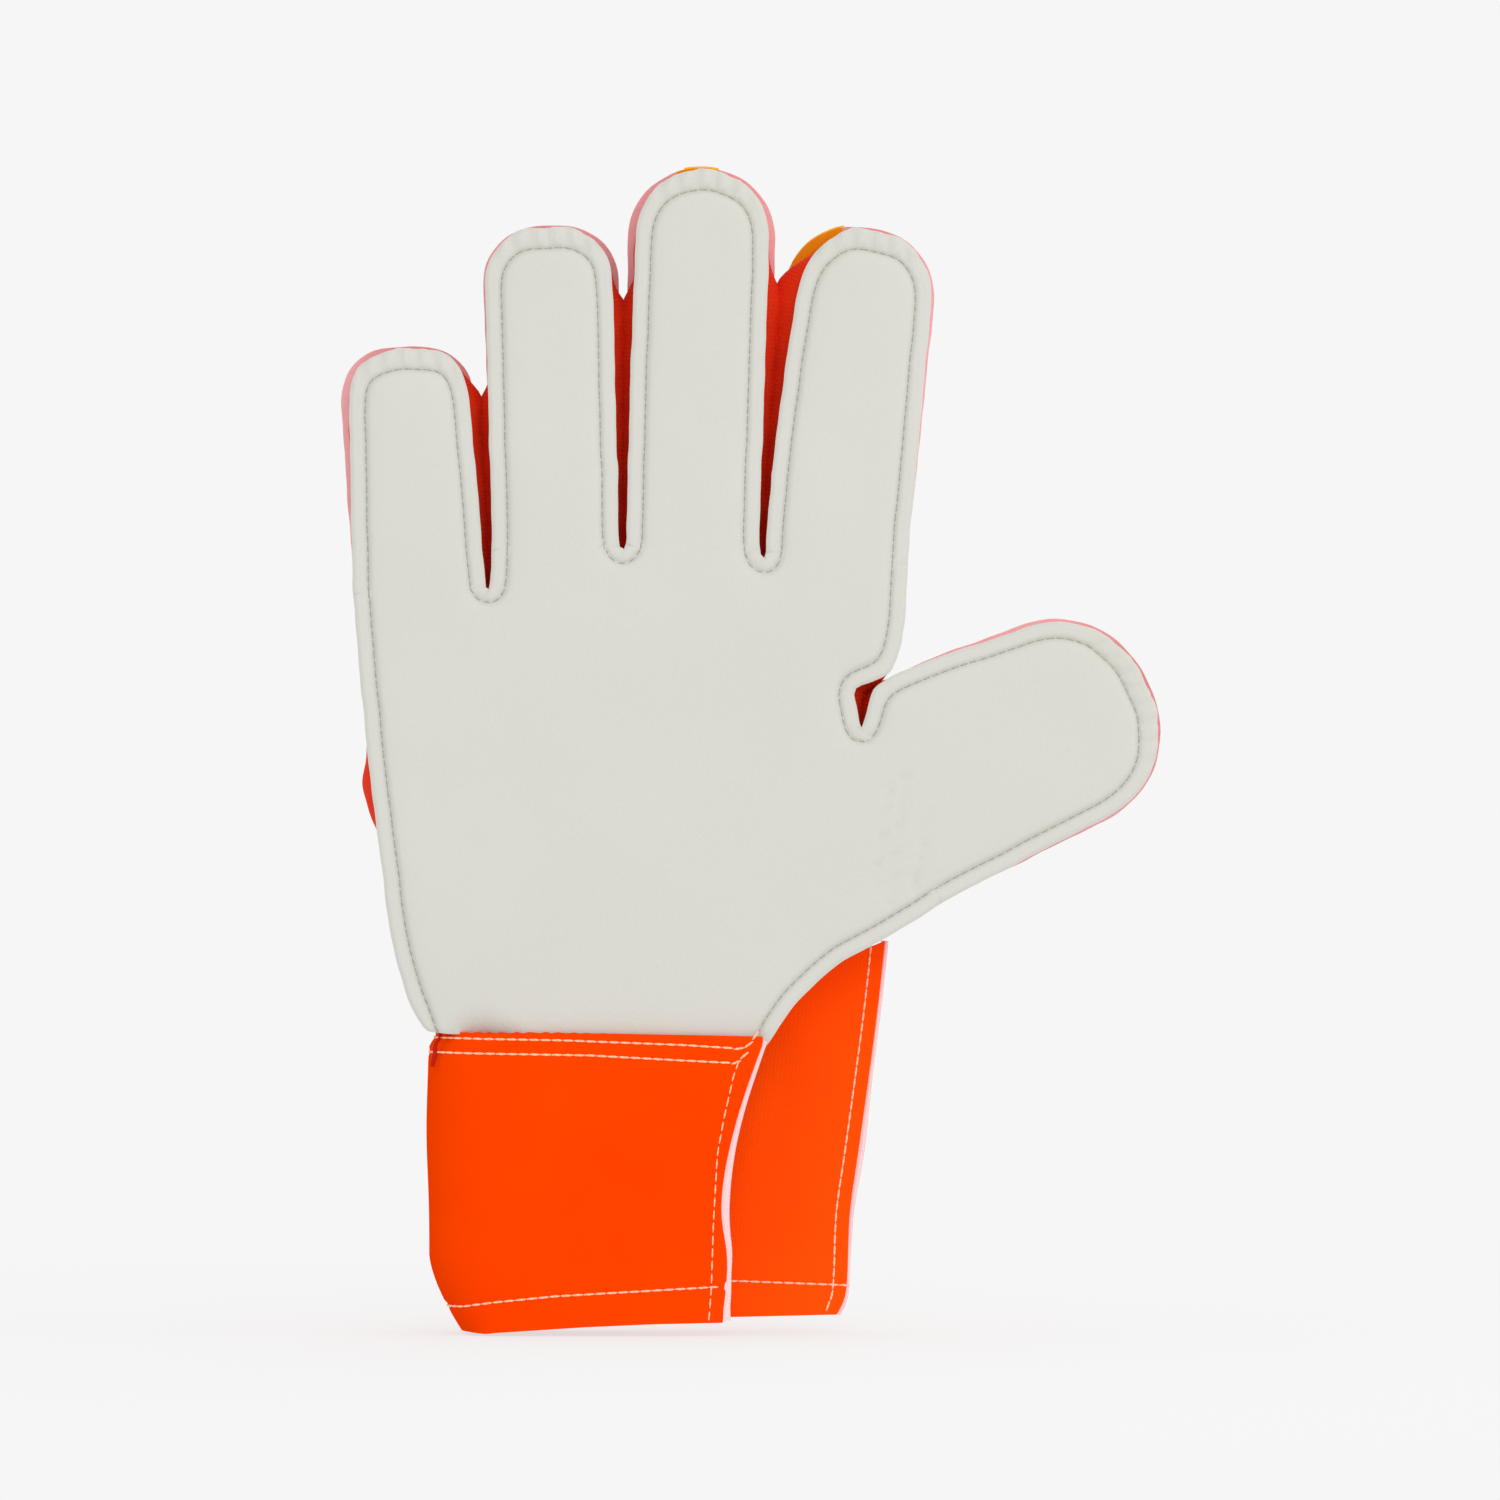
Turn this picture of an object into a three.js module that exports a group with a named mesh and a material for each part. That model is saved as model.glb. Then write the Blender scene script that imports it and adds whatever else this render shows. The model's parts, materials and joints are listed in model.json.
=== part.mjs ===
// A goalkeeper's glove for the right hand, standing on its cuff: the fingers point up (+Z), the palm
// faces -Y and the thumb points to +X. Every layer is a flat panel cut to an outline in the X-Z plane
// and given its thickness along Y, as the real one is cut from sheets and sewn. Millimetres.
import * as THREE from 'three';

// ---------------------------------------------------------------- driving dimensions
const GAP = 0.3; // clearance between two pieces that touch
const HINGE_GAP = 0.15; // each side of a knuckle line
const SEAM_ALLOWANCE = 3.7; // raw edge that stands outside the stitch line
const LATEX = 3.5; // palm latex
const FOAM = 3.0; // backhand foam
const LINING = 0.8;
const FABRIC = 1.8; // doubled cuff fabric
const GUSSET = 1.2; // stretch fabric between palm and back
const PALM_FACE = -14; // y of the grip face
const BACK_FACE = 13; // y of the backhand's outer face
const TIP_STEPS = 20; // facets round a fingertip
const SLIT = 1; // width of the cut between two fingers

// Each digit from its knuckle line: the middle of that line (x, z), how far it leans towards the thumb
// in degrees, its widths, its length, and how round its tip is.
const DIGITS = {
  little: { base: [-51.8, 175], lean: -2, baseWidth: 31, tipWidth: 29.6, length: 54.4, tipDepth: 14, tipPower: 2.6 },
  ring: { base: [-20, 185], lean: -1.2, baseWidth: 29.4, tipWidth: 30.2, length: 72.6, tipDepth: 14, tipPower: 2.4 },
  middle: { base: [12, 185], lean: 1.6, baseWidth: 30.6, tipWidth: 33, length: 86, tipDepth: 16, tipPower: 2.1 },
  index: { base: [45.6, 183], lean: 5.1, baseWidth: 33.2, tipWidth: 33.6, length: 74.4, tipDepth: 16, tipPower: 2.2 },
  thumb: { base: [59, 124.1], lean: 65.5, baseWidth: 53, tipWidth: 48.5, length: 64.6, tipDepth: 24, tipPower: 2.2 },
};
const UNDERCUT = 8; // how far below its knuckle line a digit's outline starts before it is trimmed
const WEB_CUT = [[-10.5, -7], [-18.5, 0], [-24.2, 5], [-27.2, 14.5]]; // the thumb's edge along the crotch slit
const BACK_PROUD = 0.9; // how far the backhand shows past the palm at the tips
const BACK_SHIFT = { little: -1.6, ring: 0, middle: 0, index: 0, thumb: 0 }; // sideways, at the tip

// The bottoms of the cuts between the fingers, and the crotch slit, as (x, z)
const FINGER_CUTS = [
  { name: 'fourchette_little_ring', at: [-35.7, 173], left: 'little', right: 'ring' },
  { name: 'fourchette_ring_middle', at: [-4.4, 182.5], left: 'ring', right: 'middle' },
  { name: 'fourchette_middle_index', at: [28.4, 180.5], left: 'middle', right: 'index' },
];
const CROTCH_SLIT = [[61, 156.6], [52, 151.3], [49.8, 148.5], [50.9, 141.3]];

const ULNAR_EDGE = [[-49.6, 69.8], [-53.6, 76], [-57.6, 89], [-60, 105], [-64.4, 141], [-67.2, 174.8]];
const THUMB_ROOT = [57.5, 92.3]; // where palm and backhand part and the wrist slit begins
const PALM_HEEL = [THUMB_ROOT, [47, 86.8], [39.8, 80.7], [33.7, 74.2], [29.6, 66], [28.8, 62]];
const BACK_HEEL = [THUMB_ROOT, [56, 80], [20, 69]];
const HEEL_LEFT = -33.8; // x where the panels stop at the cuff's side panel
const HAND_LINING_SIDE = [[43, 166], [43, 132], [57, 108], [50, 96]]; // clear of the gussets on the thumb side

// Cuff
const CUFF_TOP = 69.5;
const CUFF_FRONT = PALM_FACE - GAP - FABRIC; // outer face of the palm-side cuff
const CUFF_REAR = BACK_FACE + GAP + FABRIC; // outer face of the back-side cuff
const PALM_SLIT_EDGE = [[28.4, 68.4], [23.3, 54.4], [20.2, 40.5], [18.7, 26.5], [19.9, 16], [19, 3.2]];
const CUFF_EDGE = [[57, 91], [55.4, 76], [53.3, 60], [50.6, 40.5], [48.6, 26.5], [48.2, 12.6], [47.2, 3.4]];
const BINDING_WIDTH = 2;
const ELASTIC = { low: 50, high: 60, thickness: 1.1 };

// Strap, lying across the back of the cuff from its root at the thumb side
const STRAP = { root: 35.7, tip: -48.4, low: 13, high: 53, thickness: 2.2, cornerRadius: 7 };
const PATCH = { left: -44, right: 2, low: 17, high: 49, thickness: 0.8 };

// ---------------------------------------------------------------- materials
function finish(color, roughness) {
  return new THREE.MeshStandardMaterial({ color, roughness, metalness: 0 });
}
const LATEX_WHITE = finish(0xdddcd6, 0.85);
const FOAM_PINK = finish(0xefc3c4, 0.75);
const LATEX_AMBER = finish(0xf0b010, 0.7);
const FABRIC_ORANGE = finish(0xff4a00, 0.8);
const GUSSET_RED = finish(0xc02a08, 0.8);
const LINING_ROSE = finish(0xe8a8a0, 0.9);
const ELASTIC_WHITE = finish(0xf0f0ee, 0.9);
const BINDING_PINK = finish(0xf6b8b4, 0.7);
const HOOK_TAPE = finish(0xd84010, 0.6);
const LOOP_TAPE = finish(0xe8481a, 1);
const LABEL_WHITE = finish(0xf4f4f2, 0.8);

const glove = new THREE.Group();

// ---------------------------------------------------------------- outlines
// A curve through a few points, as an open outline.
function smooth(points, steps) {
  return new THREE.SplineCurve(points.map(([x, z]) => new THREE.Vector2(x, z))).getPoints(steps);
}

function straight(points) {
  return points.map(([x, z]) => new THREE.Vector2(x, z));
}

// The same open outline moved to the right of its own direction; outlines run clockwise, so this is
// inwards.
function inset(path, distance) {
  return path.map((point, i) => {
    const before = path[Math.max(i - 1, 0)];
    const after = path[Math.min(i + 1, path.length - 1)];
    const into = (i > 0 ? point.clone().sub(before) : after.clone().sub(point)).normalize();
    const outOf = (i < path.length - 1 ? after.clone().sub(point) : into.clone()).normalize();
    const normal = new THREE.Vector2(into.y + outOf.y, -into.x - outOf.x).normalize();
    const stretch = normal.x * into.y - normal.y * into.x;
    return point.clone().addScaledVector(normal, distance / stretch);
  });
}

// A strip of the given width lying on the right of an open outline.
function band(path, width) {
  return [...path, ...inset(path, width).reverse()];
}

// From a digit's own (across, along) to the glove's (x, z).
function placed(digit, path) {
  const angle = THREE.MathUtils.degToRad(digit.lean);
  const base = new THREE.Vector2(...digit.base);
  return path.map((point) => point.clone().rotateAround(new THREE.Vector2(), -angle).add(base));
}

// Cuts a closed outline at a digit's knuckle line and keeps one side: 1 is the digit's, -1 the hand's.
function trimmed(outline, digit, side) {
  const angle = THREE.MathUtils.degToRad(digit.lean);
  const direction = new THREE.Vector2(Math.sin(angle), Math.cos(angle));
  const base = new THREE.Vector2(...digit.base);
  const beyond = (point) => side * point.clone().sub(base).dot(direction) - HINGE_GAP;
  const kept = [];
  outline.forEach((point, i) => {
    const next = outline[(i + 1) % outline.length];
    const here = beyond(point);
    const there = beyond(next);
    if (here >= 0) kept.push(point);
    if (here * there < 0) kept.push(point.clone().lerp(next, here / (here - there)));
  });
  return kept;
}

// A digit's edge, open at the knuckle line: up the left side, round the tip and down the right side.
// It starts and ends a little below the line, for trimming.
function digitEdge(name, proud = 0) {
  const { baseWidth, tipWidth, length, tipDepth, tipPower } = DIGITS[name];
  const shift = proud ? BACK_SHIFT[name] : 0;
  const sideTop = length - tipDepth;
  const halfTip = tipWidth / 2 + proud;
  const tip = [];
  for (let i = 0; i <= TIP_STEPS; i += 1) {
    const turn = Math.PI * (1 - i / TIP_STEPS);
    const across = Math.sign(Math.cos(turn)) * Math.abs(Math.cos(turn)) ** (2 / tipPower);
    const along = Math.abs(Math.sin(turn)) ** (2 / tipPower);
    tip.push([across * halfTip + shift, sideTop + along * (tipDepth + proud)]);
  }
  const leftBase = name === 'thumb' ? WEB_CUT : [[-baseWidth / 2, -UNDERCUT]];
  return straight([...leftBase, ...tip, [baseWidth / 2, -UNDERCUT]]);
}

// The end of a digit's knuckle line on the hand's side: -1 is its left end and 1 its right end.
function knuckleEnd(name, side) {
  const digit = DIGITS[name];
  return placed(digit, straight([[side * digit.baseWidth / 2, -HINGE_GAP]]))[0];
}

// The hand's outline without its heel: up the little-finger edge, along the four knuckle lines with a
// cut between each two, down to the crotch slit and along the thumb's knuckle line.
function handEdge() {
  const edge = smooth(ULNAR_EDGE, 12);
  edge[edge.length - 1] = knuckleEnd('little', -1);
  for (const cut of FINGER_CUTS) {
    const [x, z] = cut.at;
    edge.push(knuckleEnd(cut.left, 1), ...straight([[x - SLIT / 2, z], [x + SLIT / 2, z]]), knuckleEnd(cut.right, -1));
  }
  const thumb = DIGITS.thumb;
  const thumbLine = straight([[WEB_CUT[1][0], -HINGE_GAP], [thumb.baseWidth / 2, -HINGE_GAP]]);
  edge.push(knuckleEnd('index', 1), ...straight(CROTCH_SLIT), ...placed(thumb, thumbLine));
  return edge;
}

// ---------------------------------------------------------------- solids
function addPiece(name, geometry, material) {
  const piece = new THREE.Mesh(geometry, material);
  piece.name = name;
  glove.add(piece);
  return piece;
}

// A panel cut to an outline in X-Z, from y = front to y = rear.
function panel(name, outline, front, rear, material) {
  const geometry = new THREE.ExtrudeGeometry(new THREE.Shape(outline), { depth: rear - front, bevelEnabled: false });
  geometry.rotateX(Math.PI / 2);
  geometry.translate(0, rear, 0);
  return addPiece(name, geometry, material);
}

const wallFront = PALM_FACE + LATEX + GAP; // y where the gussets start, behind the palm
const wallRear = BACK_FACE - FOAM - GAP; // y where they end, inside the backhand
const liningInset = SEAM_ALLOWANCE + GUSSET + 0.7; // clear of the gussets

// ---------------------------------------------------------------- fingers and thumb
for (const [name, digit] of Object.entries(DIGITS)) {
  const digitPanel = (piece, edge, front, rear, material) => {
    panel(`${name}_${piece}`, trimmed(placed(digit, edge), digit, 1), front, rear, material);
  };
  const palmEdge = digitEdge(name);
  digitPanel('palm_latex', palmEdge, PALM_FACE, PALM_FACE + LATEX, LATEX_WHITE);
  digitPanel('back_foam', digitEdge(name, BACK_PROUD), BACK_FACE - FOAM, BACK_FACE, FOAM_PINK);

  // The two gussets meet at the middle of the tip.
  const seam = inset(palmEdge, SEAM_ALLOWANCE);
  const middle = Math.floor(seam.length / 2);
  const leftEnd = seam[middle].clone().lerp(seam[middle - 1], 0.1);
  const rightEnd = seam[middle].clone().lerp(seam[middle + 1], 0.1);
  const sides = { left: [...seam.slice(0, middle), leftEnd], right: [rightEnd, ...seam.slice(middle + 1)] };
  for (const [side, path] of Object.entries(sides)) {
    digitPanel(`gusset_${side}`, band(path, GUSSET), wallFront, wallRear, GUSSET_RED);
  }
  digitPanel('palm_lining', inset(palmEdge, liningInset), wallFront, wallFront + LINING, LINING_ROSE);
}

// Amber grip patches glued over the backs of two fingertips
for (const name of ['middle', 'index']) {
  const digit = DIGITS[name];
  const patchLength = 26;
  const edge = digitEdge(name, BACK_PROUD).filter((point) => point.y > digit.length - patchLength);
  const corner = (point) => new THREE.Vector2(point.x, digit.length - patchLength);
  const outline = [corner(edge[0]), ...edge, corner(edge.at(-1))];
  panel(`${name}_tip_patch`, placed(digit, outline), BACK_FACE + GAP, BACK_FACE + GAP + 1, LATEX_AMBER);
}

// ---------------------------------------------------------------- hand: palm and backhand
const palmHeel = [...smooth(PALM_HEEL, 8), ...straight([[HEEL_LEFT, 62], [HEEL_LEFT, CUFF_TOP + GAP]])];
const palmOutline = [...handEdge(), ...palmHeel];
panel('palm_latex', palmOutline, PALM_FACE, PALM_FACE + LATEX, LATEX_WHITE);
const ulnarLining = inset(smooth(ULNAR_EDGE, 12), liningInset).filter((point) => point.y < 166);
const palmLiningEdge = [...HAND_LINING_SIDE, [27, 72], [27, 63], [HEEL_LEFT, 63], [HEEL_LEFT, 71]];
panel('palm_lining', [...ulnarLining, ...straight(palmLiningEdge)], wallFront, wallFront + LINING, LINING_ROSE);

const backHeel = [...straight(BACK_HEEL), ...straight([[HEEL_LEFT, 64], [HEEL_LEFT, CUFF_TOP + GAP]])];
const backOutline = [...handEdge(), ...backHeel];
panel('backhand_foam', backOutline, BACK_FACE - FOAM, BACK_FACE, FOAM_PINK);
const backLiningEdge = [...HAND_LINING_SIDE, [50, 82], [20, 72], [HEEL_LEFT, 71]];
panel('backhand_lining', [...ulnarLining, ...straight(backLiningEdge)], wallRear - LINING, wallRear, LINING_ROSE);

// ---------------------------------------------------------------- hand: gussets
function gusset(name, edge, digit) {
  const seam = inset(edge, SEAM_ALLOWANCE);
  panel(name, trimmed(band(seam, GUSSET), DIGITS[digit], -1), wallFront, wallRear, GUSSET_RED);
}

const ulnarTop = knuckleEnd('little', -1);
gusset('ulnar_side_gusset', [...smooth(ULNAR_EDGE, 12).slice(0, -1), ulnarTop, ulnarTop.clone().setY(190)], 'little');

// One U of fabric round the bottom of each cut, reaching up to the two knuckle lines
for (const cut of FINGER_CUTS) {
  const [x, z] = cut.at;
  const radius = SEAM_ALLOWANCE + SLIT / 2;
  const bottom = new THREE.EllipseCurve(x, z, radius, radius, Math.PI, 2 * Math.PI).getPoints(10);
  const top = (name, side, across) => new THREE.Vector2(x + across, knuckleEnd(name, side).y - GAP);
  const path = [top(cut.left, 1, -radius), ...bottom, top(cut.right, -1, radius)];
  panel(cut.name, band(path, GUSSET), wallFront, wallRear, GUSSET_RED);
}

const indexEnd = knuckleEnd('index', 1);
const [mouth, ...slitEdgePoints] = straight(CROTCH_SLIT);
gusset('index_side_gusset', [indexEnd.clone().setY(200), indexEnd, mouth.clone().setY(mouth.y + 5)], 'index');
gusset('thumb_web_gusset', [mouth, ...slitEdgePoints, straight([[52.5, 133]])[0]], 'thumb');

const thumbRoot = new THREE.Vector2(...THUMB_ROOT);
const thumbEnd = knuckleEnd('thumb', 1);
gusset('thumb_base_gusset', [thumbRoot.clone().lerp(thumbEnd, 1.5), thumbRoot], 'thumb');

// ---------------------------------------------------------------- cuff
const slitEdge = smooth(PALM_SLIT_EDGE, 12);
const palmCuff = [...straight([[HEEL_LEFT, 1], [HEEL_LEFT, CUFF_TOP]]), ...slitEdge];
panel('cuff_palm_panel', palmCuff, CUFF_FRONT, CUFF_FRONT + FABRIC, FABRIC_ORANGE);

const cuffEdge = smooth(CUFF_EDGE, 12);
const backCuff = [...straight([[HEEL_LEFT, 1], [HEEL_LEFT, 71], [15, 76]]), ...cuffEdge];
panel('cuff_back_panel', backCuff, CUFF_REAR - FABRIC, CUFF_REAR, FABRIC_ORANGE);

// The side panel wraps from the palm side to the back round the little-finger side of the wrist.
const wrapRadius = (CUFF_REAR - CUFF_FRONT) / 2;
const wrapCentre = [HEEL_LEFT - GAP, (CUFF_REAR + CUFF_FRONT) / 2];
const wrapSection = new THREE.Shape();
wrapSection.absarc(...wrapCentre, wrapRadius, Math.PI / 2, 1.5 * Math.PI, false);
wrapSection.absarc(...wrapCentre, wrapRadius - FABRIC, 1.5 * Math.PI, Math.PI / 2, true);
const wrap = new THREE.ExtrudeGeometry(wrapSection, { depth: CUFF_TOP, bevelEnabled: false, curveSegments: 14 });
addPiece('cuff_side_panel', wrap, FABRIC_ORANGE);

// Linings and the elastic that gathers the wrist, which runs between lining and palm-side cuff
const liningFront = CUFF_FRONT + FABRIC + GAP + ELASTIC.thickness + GAP;
const slitLining = inset(slitEdge, BINDING_WIDTH).filter((point) => point.y < 61 && point.y > 4);
const palmCuffLining = [...straight([[HEEL_LEFT, 4], [HEEL_LEFT, 61.5]]), ...slitLining];
panel('cuff_palm_lining', palmCuffLining, liningFront, liningFront + LINING, LINING_ROSE);
const elasticOutline = straight([[HEEL_LEFT, ELASTIC.low], [HEEL_LEFT, ELASTIC.high], [18, ELASTIC.high], [18, ELASTIC.low]]);
const elasticRear = liningFront - GAP;
panel('wrist_elastic', elasticOutline, elasticRear - ELASTIC.thickness, elasticRear, ELASTIC_WHITE);

const backLiningRear = CUFF_REAR - FABRIC - GAP;
const backCuffLining = straight([[HEEL_LEFT, 4], [HEEL_LEFT, 63.5], [20, 68.5], [48, 77], [46, 30], [44, 6]]);
panel('cuff_back_lining', backCuffLining, backLiningRear - LINING, backLiningRear, LINING_ROSE);

const labelOutline = straight([[-28, 20], [-28, 42], [-16, 42], [-16, 20]]);
const labelRear = backLiningRear - LINING - GAP;
panel('care_label', labelOutline, labelRear - 0.4, labelRear, LABEL_WHITE);

// Edge bindings: a folded tape outside each edge of the wrist slit
function binding(name, edge, front, rear) {
  const inner = inset(edge, -GAP);
  const outline = [...inner, ...inset(edge, -GAP - BINDING_WIDTH).reverse()];
  panel(name, outline, front, rear, BINDING_PINK);
}
binding('slit_edge_binding', slitEdge, CUFF_FRONT, CUFF_FRONT + FABRIC + GAP);
binding('cuff_edge_binding', cuffEdge, CUFF_REAR - FABRIC - GAP, CUFF_REAR);

// ---------------------------------------------------------------- strap
const loopFront = CUFF_REAR + GAP;
const hookFront = loopFront + PATCH.thickness + GAP;
const strapFront = hookFront + PATCH.thickness + GAP;
const strapRear = strapFront + STRAP.thickness;
const patchOutline = straight([
  [PATCH.left, PATCH.low], [PATCH.left, PATCH.high], [PATCH.right, PATCH.high], [PATCH.right, PATCH.low],
]);
const hookOutline = patchOutline.map((point) => new THREE.Vector2(Math.min(point.x, -14), point.y));
panel('strap_loop_patch', patchOutline, loopFront, loopFront + PATCH.thickness, LOOP_TAPE);
panel('strap_hook_patch', hookOutline, hookFront, hookFront + PATCH.thickness, HOOK_TAPE);

// The anchor is the strap's root, folded under and sewn down to the cuff.
const anchorOutline = straight([
  [STRAP.root + GAP, STRAP.low], [STRAP.root + GAP, STRAP.high], [45.5, STRAP.high], [43.5, STRAP.low],
]);
panel('strap_anchor', anchorOutline, loopFront, strapRear, FABRIC_ORANGE);

const tabStart = STRAP.tip + 9;
const bandOutline = straight([
  [tabStart + GAP, STRAP.low], [tabStart + GAP, STRAP.high], [STRAP.root, STRAP.high], [STRAP.root, STRAP.low],
]);
panel('strap_band', bandOutline, strapFront, strapRear, FABRIC_ORANGE);

const tab = new THREE.Shape();
tab.moveTo(tabStart, STRAP.low);
tab.lineTo(STRAP.tip + STRAP.cornerRadius, STRAP.low);
tab.quadraticCurveTo(STRAP.tip, STRAP.low, STRAP.tip, STRAP.low + STRAP.cornerRadius);
tab.lineTo(STRAP.tip + 2, STRAP.high - STRAP.cornerRadius);
tab.quadraticCurveTo(STRAP.tip + 2, STRAP.high, STRAP.tip + STRAP.cornerRadius + 1, STRAP.high);
tab.lineTo(tabStart, STRAP.high);
panel('strap_pull_tab', tab.getPoints(6), strapFront, strapRear, BINDING_PINK);

export default glove;
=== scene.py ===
import json
import math

import bpy
import numpy as np
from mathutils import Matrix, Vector
from mathutils.geometry import delaunay_2d_cdt
from mathutils.kdtree import KDTree


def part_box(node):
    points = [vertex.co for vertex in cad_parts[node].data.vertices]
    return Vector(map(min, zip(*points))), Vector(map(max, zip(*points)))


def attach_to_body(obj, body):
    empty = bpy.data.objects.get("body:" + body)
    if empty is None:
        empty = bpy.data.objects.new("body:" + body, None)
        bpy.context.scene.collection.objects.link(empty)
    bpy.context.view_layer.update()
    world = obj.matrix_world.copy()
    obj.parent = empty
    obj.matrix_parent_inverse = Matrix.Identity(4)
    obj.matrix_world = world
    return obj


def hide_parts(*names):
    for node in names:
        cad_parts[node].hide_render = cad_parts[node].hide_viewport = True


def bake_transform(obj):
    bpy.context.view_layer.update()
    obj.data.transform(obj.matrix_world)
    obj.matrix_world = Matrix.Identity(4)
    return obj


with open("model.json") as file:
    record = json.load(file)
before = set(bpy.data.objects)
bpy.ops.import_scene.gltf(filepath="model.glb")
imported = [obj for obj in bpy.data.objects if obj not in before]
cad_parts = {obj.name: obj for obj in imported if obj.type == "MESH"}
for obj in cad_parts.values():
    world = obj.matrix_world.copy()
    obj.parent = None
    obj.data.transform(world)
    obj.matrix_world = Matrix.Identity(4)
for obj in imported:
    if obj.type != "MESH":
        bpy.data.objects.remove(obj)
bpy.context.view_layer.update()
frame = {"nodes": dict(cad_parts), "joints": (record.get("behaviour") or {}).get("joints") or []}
MM = 0.001  # the script works in millimetres and hands Blender metres

# ---------------------------------------------------------------- studio
# A pale floor that fades into an evenly white surround, three large soft lights and a long lens that
# looks straight at the palm, level with the middle of the glove.
PALE = "F6F6F6"
VIEW_WIDTH = 348.9  # of the whole view, at the palm
VIEW_CENTRE = (25.3, 135.8)  # x, z
LENS = 300
SENSOR = 36


def srgb(code):
    """A colour given as sRGB hex, as the linear values that Blender works in."""
    channels = [int(code[i : i + 2], 16) / 255 for i in (0, 2, 4)]
    return [c / 12.92 if c <= 0.04045 else ((c + 0.055) / 1.055) ** 2.4 for c in channels] + [1.0]


def add(tree, kind, inputs=None, out=0, **settings):
    """Adds one node, with its settings, links or sets its inputs, and gives back one of its outputs."""
    node = tree.nodes.new(kind)
    for key, value in settings.items():
        setattr(node, key, value)
    for key, value in (inputs or {}).items():
        if isinstance(value, bpy.types.NodeSocket):
            tree.links.new(value, node.inputs[key])
        else:
            node.inputs[key].default_value = value
    return node.outputs[out] if node.outputs else None


scene = bpy.context.scene
scene.view_settings.view_transform = "Standard"
scene.world = bpy.data.worlds.new("white_surround")
scene.world.use_nodes = True
surround = scene.world.node_tree.nodes["Background"]
surround.inputs["Color"].default_value = srgb(PALE)
surround.inputs["Strength"].default_value = 1.0


def painted_floor():
    """Matt white board near the glove, which fades into the surround's own brightness further out."""
    material = bpy.data.materials.new("matt_white_floor")
    material.use_nodes = True
    tree = material.node_tree
    tree.nodes.clear()
    place = add(tree, "ShaderNodeTexCoord", out="Object")
    distance = add(tree, "ShaderNodeVectorMath", {0: place}, operation="LENGTH", out="Value")
    fade = add(tree, "ShaderNodeMapRange", {"Value": distance, "From Min": 0.1, "From Max": 0.6})
    board = add(tree, "ShaderNodeBsdfDiffuse", {"Color": srgb("E8E8E8")})
    glow = add(tree, "ShaderNodeEmission", {"Color": srgb(PALE)})
    share = add(tree, "ShaderNodeMapRange", {"Value": fade, "To Min": 0.72, "To Max": 1.0})
    mixed = add(tree, "ShaderNodeMixShader", {0: share, 1: board, 2: glow})
    add(tree, "ShaderNodeOutputMaterial", {"Surface": mixed})
    return material


bpy.ops.mesh.primitive_circle_add(vertices=96, radius=9, fill_type="NGON", location=(0, 0, -0.0005))
floor = bpy.context.object
floor.name = "floor"
floor.data.materials.append(painted_floor())


def soft_light(name, place, size, power):
    """A square area light that faces the middle of the glove."""
    light = bpy.data.lights.new(name, "AREA")
    light.size = size
    light.energy = power
    lamp = bpy.data.objects.new(name, light)
    scene.collection.objects.link(lamp)
    lamp.location = place
    aim = Vector((0.02, 0, 0.13)) - lamp.location
    lamp.rotation_euler = aim.to_track_quat("-Z", "Y").to_euler()


soft_light("front_light", (0.4, -1.95, 0.6), 1.3, 15)
soft_light("side_light", (1.5, -0.3, 1.1), 1.2, 4)
soft_light("rear_light", (0.5, 1.8, 0.9), 1.3, 8)

camera_data = bpy.data.cameras.new("camera")
camera_data.lens = LENS
camera_data.sensor_width = SENSOR
camera_data.clip_end = 30
camera = bpy.data.objects.new("camera", camera_data)
scene.collection.objects.link(camera)
palm_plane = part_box("palm_latex")[0].y
reach = VIEW_WIDTH * MM * LENS / SENSOR
camera.location = (VIEW_CENTRE[0] * MM, palm_plane - reach, VIEW_CENTRE[1] * MM)
camera.rotation_euler = (math.pi / 2, 0, 0)
scene.camera = camera

# ---------------------------------------------------------------- palm
# One flat-cut sheet of white latex foam, about 3.5 mm thick. Its raw edge stands outside the seam all the
# way round, so the sewn line runs in a shallow groove a few millimetres inside the cut edge.
ALLOWANCE = 3.7
TIP_ALLOWANCE = 1.1  # more at the middle of each tip, where the seam runs straighter than the cut
LATEX = 3.4
FACE = palm_plane / MM  # y of the grip face
GROOVE = 0.62  # depth of the groove, below the allowance
STEP_UP = 0.85  # from the allowance to the grip face
CUT_STEP = 1.3  # spacing of points along a cut edge
COARSE = 2.6  # spacing in the open
FENCE_SNAP = 1.0  # a knuckle line that comes this near the cut edge ends there
CREASE_HALF = 1.4  # half width of the band of closer points along a pressed line


class Digit:
    """A finger or the thumb in the plane of the palm: along it from its knuckle line, and across."""

    def __init__(self, joint):
        self.name = joint["name"].replace("_flex", "")
        self.body = joint["child"]
        place, axis = np.array(joint["pos_m"]) / MM, np.array(joint["axis"])
        self.origin = place[[0, 2]]
        self.across_way = axis[[0, 2]]
        self.along_way = np.array([-axis[2], axis[0]])
        edge = outline_of(f"{self.name}_palm_latex")
        self.length = self.along(edge).max()
        self.half = np.abs(self.across(edge)).max()
        self.bend_start = 0.2 if self.name == "thumb" else -2.2
        self.bend_end = self.bend_start + 17

    def along(self, points):
        return (points - self.origin) @ self.along_way

    def across(self, points):
        return (points - self.origin) @ self.across_way

    def at(self, along, across=0.0):
        return self.origin + along * self.along_way + across * self.across_way

    def beside(self, points):
        """True for points in line with this digit, and not its neighbours."""
        return np.abs(self.across(points)) < self.half + 1.5

    def blend(self, piece):
        """Bakes a piece's placement into its mesh."""
        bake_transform(piece)


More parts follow.
